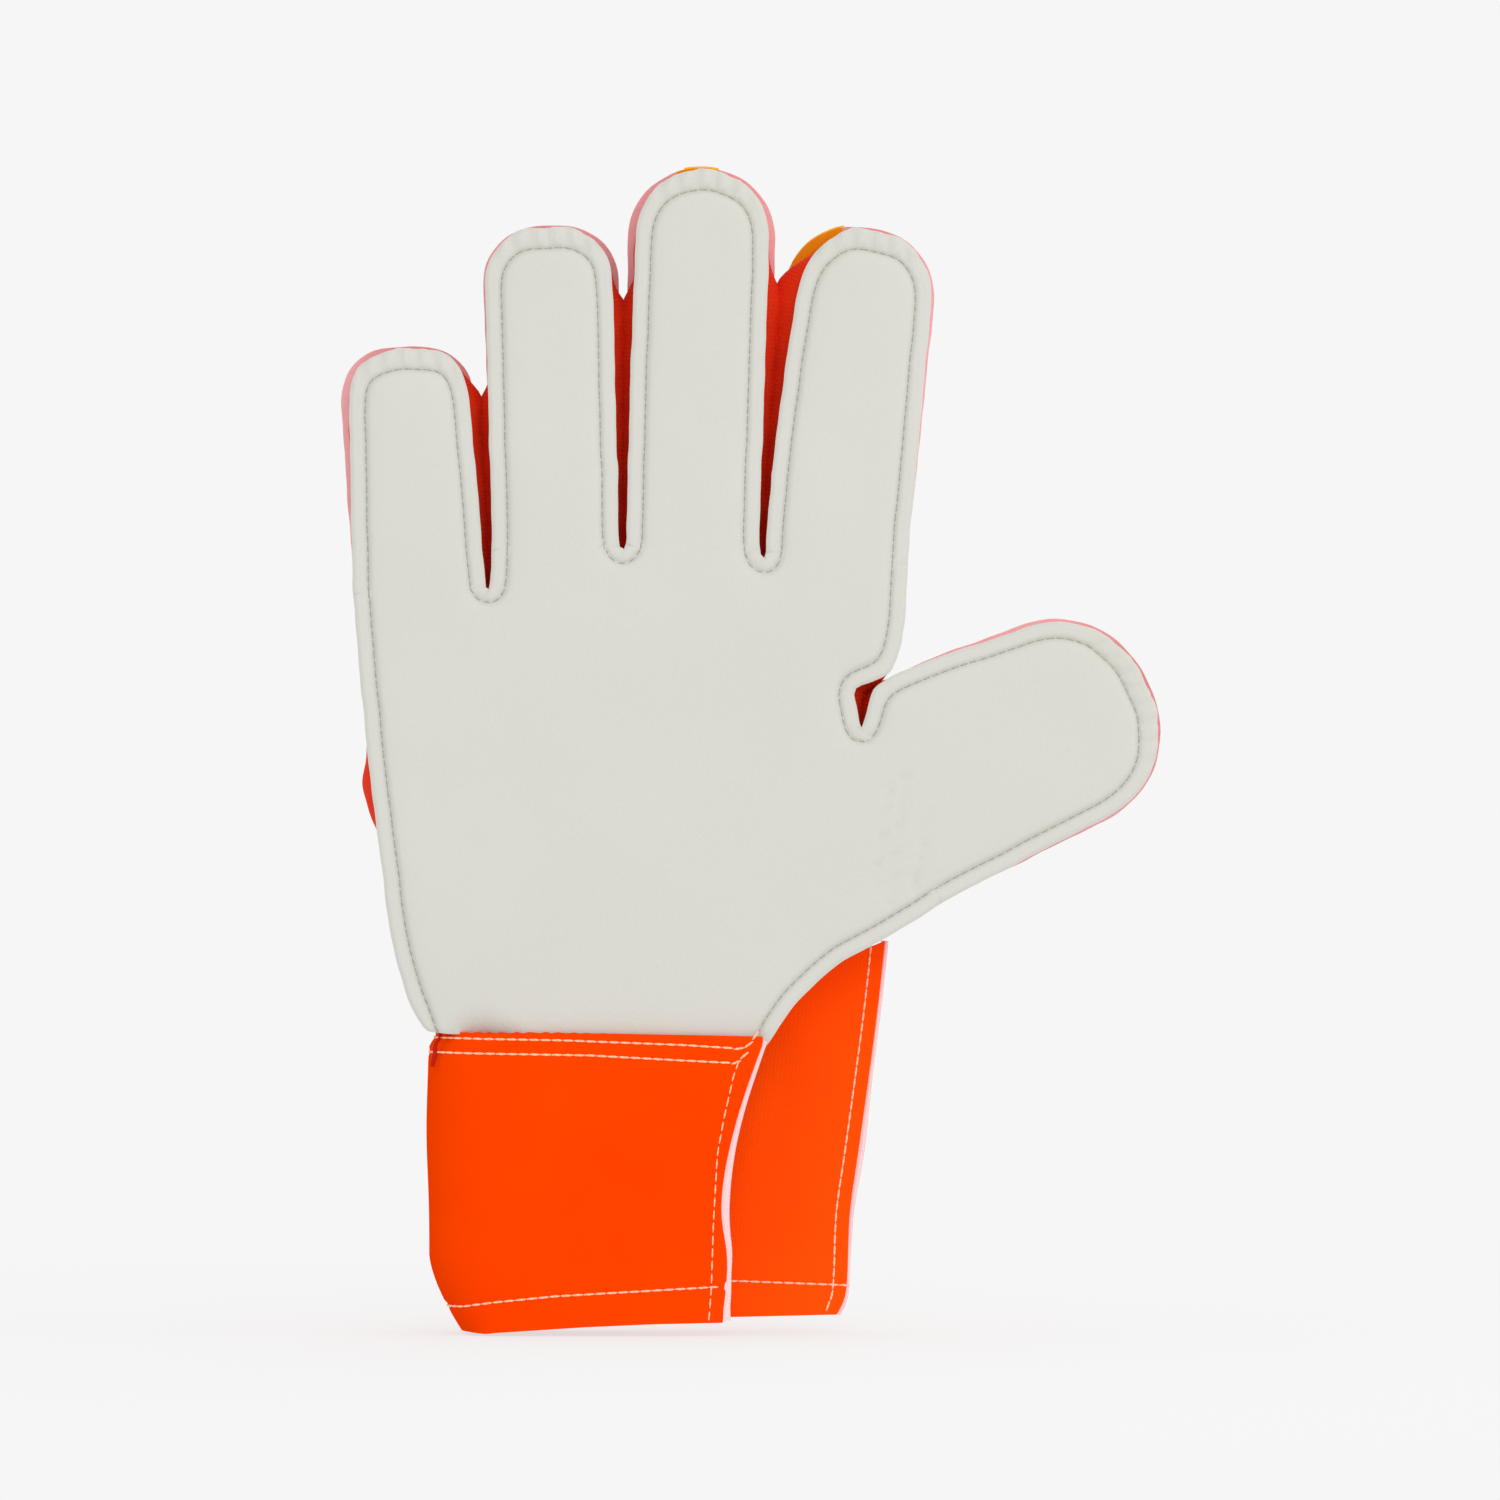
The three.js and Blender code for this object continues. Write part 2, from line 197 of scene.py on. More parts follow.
def outline_of(node):
    """The cut edge of a flat CAD panel as (x, z) points, clockwise as the palm is seen."""
    corners, label = {}, []
    mesh = frame["nodes"][node].data
    for vertex in mesh.vertices:
        label.append(corners.setdefault(tuple(round(c / MM, 3) for c in vertex.co), len(corners)))
    place = np.array(list(corners))
    edges = set()
    for face in mesh.polygons:
        if face.normal.y < -0.9:
            ring = [label[i] for i in face.vertices]
            edges.update(zip(ring, ring[1:] + ring[:1]))
    follow = {a: b for a, b in edges if (b, a) not in edges}
    path = [min(follow)]
    while follow[path[-1]] != path[0]:
        path.append(follow[path[-1]])
    return place[path[::-1]][:, [0, 2]]


DIGITS = [Digit(joint) for joint in frame["joints"] if joint["name"].endswith("_flex")]


def joined_outline(hand_node, digit_suffix):
    """The hand panel's edge with each digit's edge let in at its knuckle line."""
    hand = outline_of(hand_node)
    edge = []
    for here, there in zip(hand, np.roll(hand, -1, axis=0)):
        edge.append(here)
        for digit in DIGITS:
            if np.abs(digit.along(np.array([here, there])) + 0.15).max() < 0.03:
                loop = outline_of(f"{digit.name}_{digit_suffix}")
                first = np.linalg.norm(loop - here, axis=1).argmin()
                edge.extend(np.roll(loop, -first, axis=0))
    return np.array(edge)


def softened(edge, rounds=2):
    """A closed edge with its corners cut off."""
    for _ in range(rounds):
        after = np.roll(edge, -1, axis=0)
        edge = np.stack([0.75 * edge + 0.25 * after, 0.25 * edge + 0.75 * after], axis=1).reshape(-1, 2)
    return edge


def spaced(path, step, closed=True):
    """The same path with points at even steps."""
    if closed:
        path = np.vstack([path, path[:1]])
    run = np.concatenate([[0], np.cumsum(np.linalg.norm(np.diff(path, axis=0), axis=1))])
    count = max(int(round(run[-1] / step)), 2)
    marks = np.linspace(0, run[-1], count + 1)
    even = np.stack([np.interp(marks, run, path[:, k]) for k in range(path.shape[1])], axis=1)
    return even[:-1] if closed else even


def smoothed(values, reach):
    """A closed run of values, each the mean of those within reach of it."""
    return sum(np.roll(values, k, axis=0) for k in range(-reach, reach + 1)) / (2 * reach + 1)


class Line:
    """A closed line on a flat sheet, clockwise as the palm is seen, and how deep inside it a point is."""

    def __init__(self, path):
        self.path = path
        run = np.roll(path, -1, axis=0) - np.roll(path, 1, axis=0)
        run = run / np.linalg.norm(run, axis=1, keepdims=True)
        self.inward = np.stack([run[:, 1], -run[:, 0]], axis=1)
        self.tree = KDTree(len(path))
        for i, (x, z) in enumerate(path):
            self.tree.insert((x, z, 0), i)
        self.tree.balance()

    def nearest(self, points):
        return np.array([self.tree.find((x, z, 0))[1] for x, z in points])

    def depth(self, points):
        """Each point's distance to the line, less than zero outside it."""
        nearest = self.nearest(points)
        best = np.full(len(points), np.inf)
        side = ((points - self.path[nearest]) * self.inward[nearest]).sum(axis=1)
        for shift in (-1, 0):
            start = self.path[(nearest + shift) % len(self.path)]
            run = self.path[(nearest + shift + 1) % len(self.path)] - start
            share = np.clip(((points - start) * run).sum(axis=1) / (run**2).sum(axis=1), 0, 1)
            away = points - start - share[:, None] * run
            gap = np.linalg.norm(away, axis=1)
            on_stretch = (gap < best) & (share > 0) & (share < 1)
            side = np.where(on_stretch, away[:, 0] * run[:, 1] - away[:, 1] * run[:, 0], side)
            best = np.minimum(best, gap)
        return np.where(side >= 0, best, -best)

    def inset(self, depth, keep_off=0.05):
        """Points a distance inside the line, which may differ from point to point, without crossings."""
        depth = np.broadcast_to(depth, len(self.path))
        moved = self.path + self.inward * depth[:, None]
        return moved[np.sign(depth) * self.depth(moved) > np.abs(depth) - keep_off]


def dip(distance, width):
    """A soft round-bottomed groove across a line, from 0 to 1."""
    return np.exp(-((distance / width) ** 2))


def hand_cut(edge, amount=0.16):
    """The small unevenness of an edge cut by hand."""
    turn = np.arange(len(edge)) * 2 * math.pi / len(edge)
    wave = sum(np.sin(k * turn + 1.7 * k) for k in (37, 61, 90, 143)) / 4
    return edge + Line(edge).inward * (wave * amount)[:, None]


# How far the palm's edge is drawn in by the tip on each finger's left and right, and the power by
# which that grows along the finger. The backhand keeps its full width there and shows beyond it.
DRAWN_IN = {
    "little": ((0, 1), (2.2, 1.2)),
    "ring": ((0, 1), (0.6, 1)),
    "middle": ((1.7, 1.6), (0.8, 1)),
    "index": ((4.2, 2.4), (0, 1)),
    "thumb": ((0, 1), (0, 1)),
}


def drawn_in(edge):
    """The palm's edge where sewing has pulled it towards the middle of each finger."""
    moved = edge.copy()
    for digit in DIGITS:
        along, across = digit.along(edge), digit.across(edge)
        share = np.clip(along / digit.length, 0, 1)
        for side, (amount, power) in zip((-1, 1), DRAWN_IN[digit.name]):
            here = digit.beside(edge) & (across * side > 0)
            pull = amount * share**power * np.abs(across / digit.half)
            moved += np.where(here, -side * pull, 0)[:, None] * digit.across_way
    return moved


# Places where the cut edge stands a little further out or in than the pattern: the thumb's corner that
# narrows the mouth of the slit, the hand's lip over it, the notch below that lip, and the heel's end
# tucked behind the cuff.
CUT_TRIMS = [
    ((54.6, 149.2), 3.0, -1.3),
    ((56.5, 154.3), 3.0, -0.9),
    ((50.2, 149.6), 2.6, 1.3),
    ((29.4, 63), 4.5, 1.8),
]


def trimmed(edge):
    """Moves the cut edge inwards round each trim's place by its amount, or outwards if that is less
    than zero."""
    inward = Line(edge).inward
    for place, reach, amount in CUT_TRIMS:
        near = dip(np.linalg.norm(edge - np.array(place), axis=1), reach)
        edge = edge + inward * (near * amount)[:, None]
    return edge


def without_needles(edge, least=0.6, ahead=9):
    """The closed edge without the parts of its slits that are narrower than least."""
    count = len(edge)
    drop = set()
    for i in range(count):
        for k in range(ahead, 1, -1):
            if np.linalg.norm(edge[i] - edge[(i + k) % count]) < least:
                drop.update((i + m) % count for m in range(1, k))
                break
    return edge[[i for i in range(count) if i not in drop]]


def tip_puckers(edge, amount=0.22):
    """Small gathers in the cut edge round each fingertip."""
    moved = edge.copy()
    inward = Line(edge).inward
    for k, digit in enumerate(DIGITS):
        along, across = digit.along(edge), digit.across(edge)
        near = np.clip((along - digit.length + 9) / 6, 0, 1) * digit.beside(edge)
        wave = np.sin(across * 0.55 + 2 * k) + 0.6 * np.sin(across * 1.7 + 3 * k) * np.sin(across * 0.4 + k)
        moved += inward * (near * wave * amount)[:, None]
    return moved


def stretches(labels):
    """Runs of equal labels along a closed line, as (label, indices), with none cut at the list's end."""
    first = next(i for i in range(len(labels)) if labels[i] != labels[i - 1])
    found = []
    for i in (np.arange(len(labels)) + first) % len(labels):
        if not found or found[-1][0] != labels[i]:
            found.append((labels[i], []))
        found[-1][1].append(int(i))
    return found


LEFT_TURN = 6  # points at the palm's left foot that turn in behind the cuff


def run_on_down(cut, below, foot=50):
    """The same cut edge, but with its sides run on straight down past the height where the cuff hides it."""
    hidden = (cut.path[:, 1] < below) & (cut.path[:, 0] < cut.path[cut.path[:, 1] < below][:, 0].max() - 0.5)
    order = stretches(hidden.tolist())
    (kept,) = [indices for is_hidden, indices in order if not is_hidden]
    path = cut.path[kept][LEFT_TURN:]
    left = path[0] + (path[0] - path[6]) * (path[0, 1] - foot) / (path[6, 1] - path[0, 1])
    corners = np.vstack([path, [(path[-1, 0], foot)], [left]])
    return Line(spaced(corners, CUT_STEP))


def seam_of(cut):
    """The sewn line: inside the cut edge by the allowance, and by more at the middle of each tip."""
    depth = np.full(len(cut.path), ALLOWANCE)
    for digit in DIGITS:
        near = digit.beside(cut.path) & (digit.along(cut.path) > digit.length / 2)
        facing = np.clip(-(cut.inward @ digit.along_way), 0, 1) ** 4
        depth = depth + np.where(near, TIP_ALLOWANCE * facing, 0)
    path = spaced(cut.inset(depth), CUT_STEP)
    for _ in range(2):  # the chord across the foot of each slit is pushed out to the full allowance
        nearest = cut.nearest(path)
        away = path - cut.path[nearest]
        gap = np.linalg.norm(away, axis=1)
        path = path + away * (np.clip(depth[nearest] - gap, 0, None) / gap)[:, None]
        path = smoothed(spaced(path, CUT_STEP), 1)
    return Line(spaced(path, CUT_STEP))


def distance_to(points, *corners):
    """Each point's distance to an open line through the corners."""
    best = np.full(len(points), np.inf)
    for start, end in zip(np.array(corners[:-1], float), np.array(corners[1:], float)):
        run = end - start
        share = np.clip(((points - start) @ run) / (run @ run), 0, 1)
        best = np.minimum(best, np.linalg.norm(points - start - share[:, None] * run, axis=1))
    return best


class Panel:
    """A flat-cut sheet: its points, its triangles, and the number of the digit each is on (-1, the hand)."""

    def __init__(self, cut, seam, splits=DIGITS, coarse=COARSE, fine=True, creases=()):
        self.cut, self.seam = cut, seam
        edge = cut.path
        low, high = edge.min(axis=0), edge.max(axis=0)
        rings = []
        if fine:
            for depth in (0.45, 1.3, 2.3):
                ring = cut.inset(depth)
                rings.append(ring[seam.depth(ring) < -0.9])
            for depth in (-0.8, -0.35, 0.01, 0.35, 0.8, 1.6, 2.8):
                ring = seam.inset(depth)
                rings.append(ring[cut.depth(ring) > 0.4])
        clear = ALLOWANCE + 4 if fine else 0.6
        for i, z in enumerate(np.arange(low[1], high[1], coarse * 0.87)):
            xs = np.arange(low[0] + (i % 2) * coarse / 2, high[0], coarse)
            row = np.stack([xs, np.full(len(xs), z)], axis=1)
            row = row[cut.depth(row) > clear]
            for crease in creases:
                row = row[distance_to(row, *crease) > CREASE_HALF + 0.6]
            rings.append(row)
        for crease in creases:
            line = spaced(np.array(crease, float), 1.2, closed=False)
            run = np.gradient(line, axis=0)
            beside = np.stack([run[:, 1], -run[:, 0]], axis=1) / np.linalg.norm(run, axis=1, keepdims=True)
            for away in np.linspace(-CREASE_HALF, CREASE_HALF, 5):
                ring = line + beside * away
                rings.append(ring[seam.depth(ring) > 3.1])
        points, edges = [*edge], [(i, (i + 1) % len(edge)) for i in range(len(edge))]
        for digit in splits:
            line = np.array([digit.at(digit.bend_start, across) for across in np.arange(-45, 45, 0.05)])
            out = cut.depth(line) < FENCE_SNAP
            middle = len(line) // 2
            first = max(i for i in range(middle) if out[i]) + 1
            last = min(i for i in range(middle, len(line)) if out[i])
            across = spaced(line[first:last], CUT_STEP, closed=False)
            ends = [int(np.linalg.norm(edge - across[k], axis=1).argmin()) for k in (0, -1)]
            ids = [ends[0], *range(len(points), len(points) + len(across) - 2), ends[1]]
            points.extend(across[1:-1])
            edges.extend(zip(ids, ids[1:]))
        loose = np.vstack([ring for ring in rings if len(ring)])
        if len(points) > len(edge):
            fences = np.array(points[len(edge) :])
            loose = loose[[np.linalg.norm(fences - p, axis=1).min() > 0.7 for p in loose]]
        places = [Vector(p) for p in [*points, *loose]]
        made = delaunay_2d_cdt(places, edges, [], 0, 1e-4)
        self.points = np.array([tuple(p) for p in made[0]])
        triangles = np.array(made[2])
        centre = self.points[triangles].mean(axis=1)
        keep = cut.depth(centre) > 0
        self.triangles, self.centres = triangles[keep], centre[keep]
        fence = {tuple(sorted(e)) for e, ids in zip(made[1], made[4]) if any(i >= len(edge) for i in ids)}
        self.region = self.regions(splits, fence)

    def regions(self, splits, fence):
        """Floods each digit from its middle up to the line that fences it off from the hand."""
        touching = {}
        for t, (a, b, c) in enumerate(self.triangles.tolist()):
            for pair in ((a, b), (b, c), (c, a)):
                touching.setdefault(tuple(sorted(pair)), []).append(t)
        region = np.full(len(self.triangles), -1)
        for number, digit in enumerate(splits):
            queue = [int(np.linalg.norm(self.centres - digit.at(25), axis=1).argmin())]
            while queue:
                here = queue.pop()
                region[here] = number
                a, b, c = self.triangles[here].tolist()
                for pair in ((a, b), (b, c), (c, a)):
                    key = tuple(sorted(pair))
                    if key not in fence:
                        queue.extend(t for t in touching[key] if region[t] != number)
        return region

    def region_at(self, points):
        """The digit number, or -1, that each point is on."""
        tree = KDTree(len(self.centres))
        for i, (x, z) in enumerate(self.centres):
            tree.insert((x, z, 0), i)
        tree.balance()
        return np.array([self.region[tree.find((x, z, 0))[1]] for x, z in points])


def mesh_piece(name, places, faces, uv=None, normals=None):
    """A mesh object from points in millimetres. normals are one for each corner of each face."""
    mesh = bpy.data.meshes.new(name)
    mesh.from_pydata((np.asarray(places) * MM).tolist(), [], [list(map(int, face)) for face in faces])
    mesh.polygons.foreach_set("use_smooth", [True] * len(mesh.polygons))
    if uv is not None:
        corner = np.zeros(len(mesh.loops), np.int32)
        mesh.loops.foreach_get("vertex_index", corner)
        mesh.uv_layers.new(name="cloth").data.foreach_set("uv", (np.asarray(uv) * MM)[corner].ravel())
    if normals is not None:
        mesh.normals_split_custom_set([tuple(n) for n in normals])
    mesh.update()
    piece = bpy.data.objects.new(name, mesh)
    scene.collection.objects.link(piece)
    return piece


def panel_pieces(panel, front, rear, name_of, material):
    """Closed solids cut from a panel, one for each region. front and rear give y from points, their
    depth inside the cut edge and their depth inside the seam. Returns {region: piece}."""

    def level(surface, points):
        return surface(points, np.maximum(panel.cut.depth(points), 0), panel.seam.depth(points))

    def facing(surface):
        step = 0.15
        right, left, up, down = [
            level(surface, panel.points + np.array(way) * step) for way in ((1, 0), (-1, 0), (0, 1), (0, -1))
        ]
        slope = [(right - left) / (2 * step), np.full(len(right), -1.0), (up - down) / (2 * step)]
        normal = np.stack(slope, axis=1)
        return normal / np.linalg.norm(normal, axis=1, keepdims=True)

    y_front, y_rear = level(front, panel.points), level(rear, panel.points)
    n_front, n_rear = facing(front), -facing(rear)
    made = {}
    for label in sorted(set(panel.region.tolist())):
        faces = panel.triangles[panel.region == label]
        a, b, c = (panel.points[faces[:, k]] for k in range(3))
        turn = (b - a)[:, 0] * (c - a)[:, 1] - (b - a)[:, 1] * (c - a)[:, 0]
        faces = np.where(turn[:, None] > 0, faces, faces[:, ::-1])
        used, local = np.unique(faces, return_inverse=True)
        local = local.reshape(-1, 3)
        flat, count = panel.points[used], len(used)
        pairs = {pair for tri in local.tolist() for pair in zip(tri, tri[1:] + tri[:1])}
        places = [np.stack([flat[:, 0], y[used], flat[:, 1]], axis=1) for y in (y_front, y_rear)]
        solid = [*local.tolist(), *(local[:, ::-1] + count).tolist()]
        normals = [*n_front[used][local].reshape(-1, 3), *n_rear[used][local[:, ::-1]].reshape(-1, 3)]
        for i, j in sorted(pairs):
            if (j, i) not in pairs:
                solid.append([j, i, i + count, j + count])
                run = flat[j] - flat[i]
                normals.extend([np.array([run[1], 0, -run[0]]) / np.linalg.norm(run)] * 4)
        made[label] = mesh_piece(name_of(label), np.vstack(places), solid, np.vstack([flat, flat]), normals)
        made[label].data.materials.append(material)
    return made


def waves(points, size, seed=0.0):
    """Slow, uneven swells between -1 and 1."""
    x, z = points[:, 0] / size, points[:, 1] / size
    swell = np.sin(1.3 * x + 0.7 * z + seed) + np.sin(-0.8 * x + 1.6 * z + 2.1 * seed)
    return (swell + np.sin(2.3 * x - 1.1 * z + 0.4 * seed)) / 3


EDGE_ROUND, EDGE_DROP = 0.8, 0.6  # the rounding of the cut edge: its reach and its depth
GROOVE_HALF = 0.55
FACE_RISE = 1.5  # how far beside the groove the face has mostly risen
SWELL, SWELL_SIZE = 0.22, 17  # slow unevenness of the face
TIP_GATHER = 0.3  # depth of the gathers in the allowance round the tips
CREASE, CREASE_WIDE = 0.32, 0.9  # depth and half width of the thumb's creases
THUMB_CREASES = [((61.5, 131), (57.5, 100)), ((57.5, 126), (54, 104)), ((66, 120), (63.5, 103))]


def palm_front(points, cut, seam):
    """y of the grip side: rounded cut edge, allowance, groove at the seam, then the padded face."""
    y = FACE + STEP_UP + EDGE_DROP * np.clip(1 - cut / EDGE_ROUND, 0, 1) ** 2
    y = y + GROOVE * dip(seam, GROOVE_HALF)
    y = y - STEP_UP * (1 - np.exp(-np.clip(seam, 0, None) / FACE_RISE))
    y = y + SWELL * waves(points, SWELL_SIZE, 1.0) * np.clip(seam / 12, 0, 1)
    for k, digit in enumerate(DIGITS):
        tip = np.clip((digit.along(points) - digit.length + 10) / 5, 0, 1) * digit.beside(points)
        gather = np.sin(digit.across(points) * 1.5 + 2 * k) * np.clip(-seam / 1.5, 0, 1)
        y = y + TIP_GATHER * tip * gather
    for start, end in THUMB_CREASES:
        y = y + CREASE * dip(distance_to(points, start, end), CREASE_WIDE)
    return y


def palm_rear(points, cut, seam):
    return palm_front(points, np.maximum(cut, EDGE_ROUND), seam) + LATEX


def soft_surface(name, roughness, specular=None):
    """A new matt material with its node tree and shader."""
    material = bpy.data.materials.new(name)
    material.use_nodes = True
    shader = material.node_tree.nodes["Principled BSDF"]
    shader.inputs["Roughness"].default_value = roughness
    if specular is not None:
        shader.inputs["Specular IOR Level"].default_value = specular
    return material, material.node_tree, shader


def clouding(tree, scale, detail):
    """Soft uneven patches, from 0 to 1, in the object's own space."""
    place = add(tree, "ShaderNodeTexCoord", out="Object")
    return add(tree, "ShaderNodeTexNoise", {"Vector": place, "Scale": scale, "Detail": detail}, out="Fac")


def tint_tone_and_shade_and_press(tree, shader, share, shade, colour, height, strength, depth):
    """Tints a shader from shade to colour by share, and presses a height into it. Some materials use the tint
    for tone that varies at random, others for painted shade.
    """
    tint = add(tree, "ShaderNodeMix", {0: share, 6: srgb(shade), 7: srgb(colour)}, 2, data_type="RGBA")
    tree.links.new(tint, shader.inputs["Base Color"])
    bump = add(tree, "ShaderNodeBump", {"Strength": strength, "Distance": depth, "Height": height})
    tree.links.new(bump, shader.inputs["Normal"])


def foamed_latex():
    """Foamed natural latex: chalky and matt, off-white, with pores of about half a millimetre that only
    just show, and faint clouding from the talc left on it."""
    material, tree, shader = soft_surface("foamed_latex_white", 0.85, 0.25)
    place = add(tree, "ShaderNodeTexCoord", out="Object")
    pore = add(tree, "ShaderNodeTexVoronoi", {"Vector": place, "Scale": 1300}, out="Distance")
    grain = add(tree, "ShaderNodeTexNoise", {"Vector": place, "Scale": 620, "Detail": 3}, out="Fac")
    relief = add(tree, "ShaderNodeMath", {0: pore, 1: grain}, operation="MULTIPLY")
    tint_tone_and_shade_and_press(tree, shader, clouding(tree, 28, 4), "C4C4BB", "C9C8C2", relief, 0.2, 0.0004)
    return material


def attach(piece, slot, *nodes, body="hand"):
    """Fixes a piece to one body in place of its CAD nodes, which it hides. Its slot is not used."""
    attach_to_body(piece, body)
    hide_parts(*nodes)


def settle(pieces, node_suffix, hand_node, slot):
    """Gives the hand's piece to the hand, and bakes the placement of each digit's piece into its mesh;
    the CAD nodes of both are hidden.
    """
    for label, piece in pieces.items():
        if label < 0:
            attach(piece, slot, hand_node)
        else:
            DIGITS[label].blend(piece)
            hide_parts(f"{DIGITS[label].name}_{node_suffix}")


def named(hand_name, suffix):
    """Names a panel's pieces: the hand's own, and each digit's with its name in front."""
    return lambda label: hand_name if label < 0 else f"{DIGITS[label].name}_{suffix}"


CUFF_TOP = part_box("cuff_palm_panel")[1].z / MM
palm_cut = spaced(softened(joined_outline("palm_latex", "palm_latex")), CUT_STEP)
palm_cut = Line(without_needles(tip_puckers(hand_cut(trimmed(drawn_in(palm_cut))))))
palm_seam = seam_of(run_on_down(palm_cut, CUFF_TOP + 0.6))
palm_panel = Panel(palm_cut, palm_seam)
LATEX_WHITE = foamed_latex()
palm_pieces = panel_pieces(palm_panel, palm_front, palm_rear, named("palm_skin", "palm_skin"), LATEX_WHITE)
settle(palm_pieces, "palm_latex", "palm_latex", "palm_latex")

# ---------------------------------------------------------------- palm seam
# One run of lock stitch in grey-beige polyester thread round the whole palm, sunk in its own groove.
# Each stitch is a small spindle between two needle holes.
SEAM_STITCH = {"pitch": 2.3, "length": 2.2, "thickness": 0.36}


def stitch_tree():
    """Geometry Nodes: stitches at even steps along the edges of a mesh, each turned to its run and to
    the surface's own up direction."""
    tree = bpy.data.node_groups.new("stitch_run", "GeometryNodeTree")
    tree.interface.new_socket("Line", in_out="INPUT", socket_type="NodeSocketGeometry")
    for name in ("Pitch", "Length", "Thickness"):
        tree.interface.new_socket(name, in_out="INPUT", socket_type="NodeSocketFloat")
    tree.interface.new_socket("Thread", in_out="INPUT", socket_type="NodeSocketMaterial")
    tree.interface.new_socket("Stitches", in_out="OUTPUT", socket_type="NodeSocketGeometry")
    given = tree.nodes.new("NodeGroupInput").outputs
    curve = add(tree, "GeometryNodeMeshToCurve", {"Mesh": given["Line"]}, out="Curve")
    run = add(tree, "GeometryNodeResampleCurve", {"Curve": curve, "Length": given["Pitch"]}, mode="LENGTH")
    thick = given["Thickness"]
    size = add(tree, "ShaderNodeCombineXYZ", {0: given["Length"], 1: thick, 2: thick})
    ball = add(tree, "GeometryNodeMeshUVSphere", {"Segments": 6, "Rings": 5, "Radius": 0.5}, out="Mesh")
    upright = add(tree, "GeometryNodeTransform", {"Geometry": ball, "Rotation": (0, math.pi / 2, 0)})
    spindle = add(tree, "GeometryNodeTransform", {"Geometry": upright, "Scale": size})
    spindle = add(tree, "GeometryNodeSetShadeSmooth", {"Geometry": spindle})
    tangent = add(tree, "GeometryNodeInputTangent")
    up = add(tree, "GeometryNodeInputNamedAttribute", {"Name": "up"}, data_type="FLOAT_VECTOR")
    turned = add(tree, "FunctionNodeAlignRotationToVector", {"Vector": tangent}, axis="X")
    upright = {"Rotation": turned, "Vector": up}
    turned = add(tree, "FunctionNodeAlignRotationToVector", upright, axis="Z", pivot_axis="X")
    stitch = {"Points": run, "Instance": spindle, "Rotation": turned}
    placed = add(tree, "GeometryNodeInstanceOnPoints", stitch)
    solid = add(tree, "GeometryNodeRealizeInstances", {"Geometry": placed})
    coloured = add(tree, "GeometryNodeSetMaterial", {"Geometry": solid, "Material": given["Thread"]})
    add(tree, "NodeGroupOutput", {"Stitches": coloured})
    return tree


STITCH_TREE = stitch_tree()


def grown(name, mesh, tree, given):
    """The plain mesh that a Geometry Nodes tree makes from a mesh and the inputs given to it by name."""
    source = bpy.data.objects.new(name + "_source", mesh)
    scene.collection.objects.link(source)
    modifier = source.modifiers.new("grow", "NODES")
    modifier.node_group = tree
    for socket in tree.interface.items_tree:
        if socket.in_out == "INPUT" and socket.name in given:
            modifier[socket.identifier] = given[socket.name]
    solid = bpy.data.meshes.new_from_object(source.evaluated_get(bpy.context.evaluated_depsgraph_get()))
    bpy.data.objects.remove(source)
    piece = bpy.data.objects.new(name, solid)
    scene.collection.objects.link(piece)
    return piece


def stitched(name, runs, up, thread, pitch, length, thickness):
    """Stitches along one or more runs of points in millimetres, as one plain mesh. up is one direction,
    or one for each run."""
    places = np.vstack(runs)
    starts = np.cumsum([0] + [len(run) for run in runs])
    edges = [(i, i + 1) for first, last in zip(starts, starts[1:]) for i in range(first, last - 1)]
    mesh = bpy.data.meshes.new(name)
    mesh.from_pydata((places * MM).tolist(), edges, [])
    ups = up if isinstance(up, list) else [np.broadcast_to(up, (len(run), 3)) for run in runs]
    mesh.attributes.new("up", "FLOAT_VECTOR", "POINT").data.foreach_set("vector", np.vstack(ups).ravel())
    given = {"Pitch": pitch * MM, "Length": length * MM, "Thickness": thickness * MM, "Thread": thread}
    return grown(name, mesh, STITCH_TREE, given)


def spun_thread(name, colour, shade):
    """Twisted polyester thread: soft sheen and a fine slanted twist, about four turns to a stitch, which
    is a little coarser than the real one so that it shows. The grooves of the twist are tinted towards the
    darker colour, which is painted shade."""
    material, tree, shader = soft_surface(name, 0.55)
    place = add(tree, "ShaderNodeTexCoord", out="Object")
    twist = add(tree, "ShaderNodeTexWave", {"Vector": place, "Scale": 480}, "Fac", bands_direction="DIAGONAL")
    tint_tone_and_shade_and_press(tree, shader, twist, shade, colour, twist, 0.4, 0.0001)
    return material


def level_on(surface, panel, points):
    """y of a panel's surface at points."""
    return surface(points, panel.cut.depth(points), panel.seam.depth(points))


def seam_stitches(panel, surface, side, name_of, thread, lowest):
    """Stitches along a panel's seam, split between the hand and the digits. side is -1 on the palm."""
    path = panel.seam.path
    place = np.stack([path[:, 0], level_on(surface, panel, path) + side * 0.1, path[:, 1]], axis=1)
    labels = panel.region_at(path)
    labels[path[:, 1] < lowest] = -2
    runs = {}
    for label, indices in stretches(labels.tolist()):
        if label > -2:
            runs.setdefault(label, []).append(place[indices])
    for label, parts in runs.items():
        piece = stitched(name_of(label), parts, (0, side, 0), thread, **SEAM_STITCH)
        if label < 0:
            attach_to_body(piece, "hand")
        else:
            DIGITS[label].blend(piece)


PALM_THREAD = spun_thread("polyester_thread_beige", "B1AD9C", "979384")
seam_stitches(palm_panel, palm_front, -1, named("palm_seam", "palm_seam"), PALM_THREAD, CUFF_TOP + 0.6)

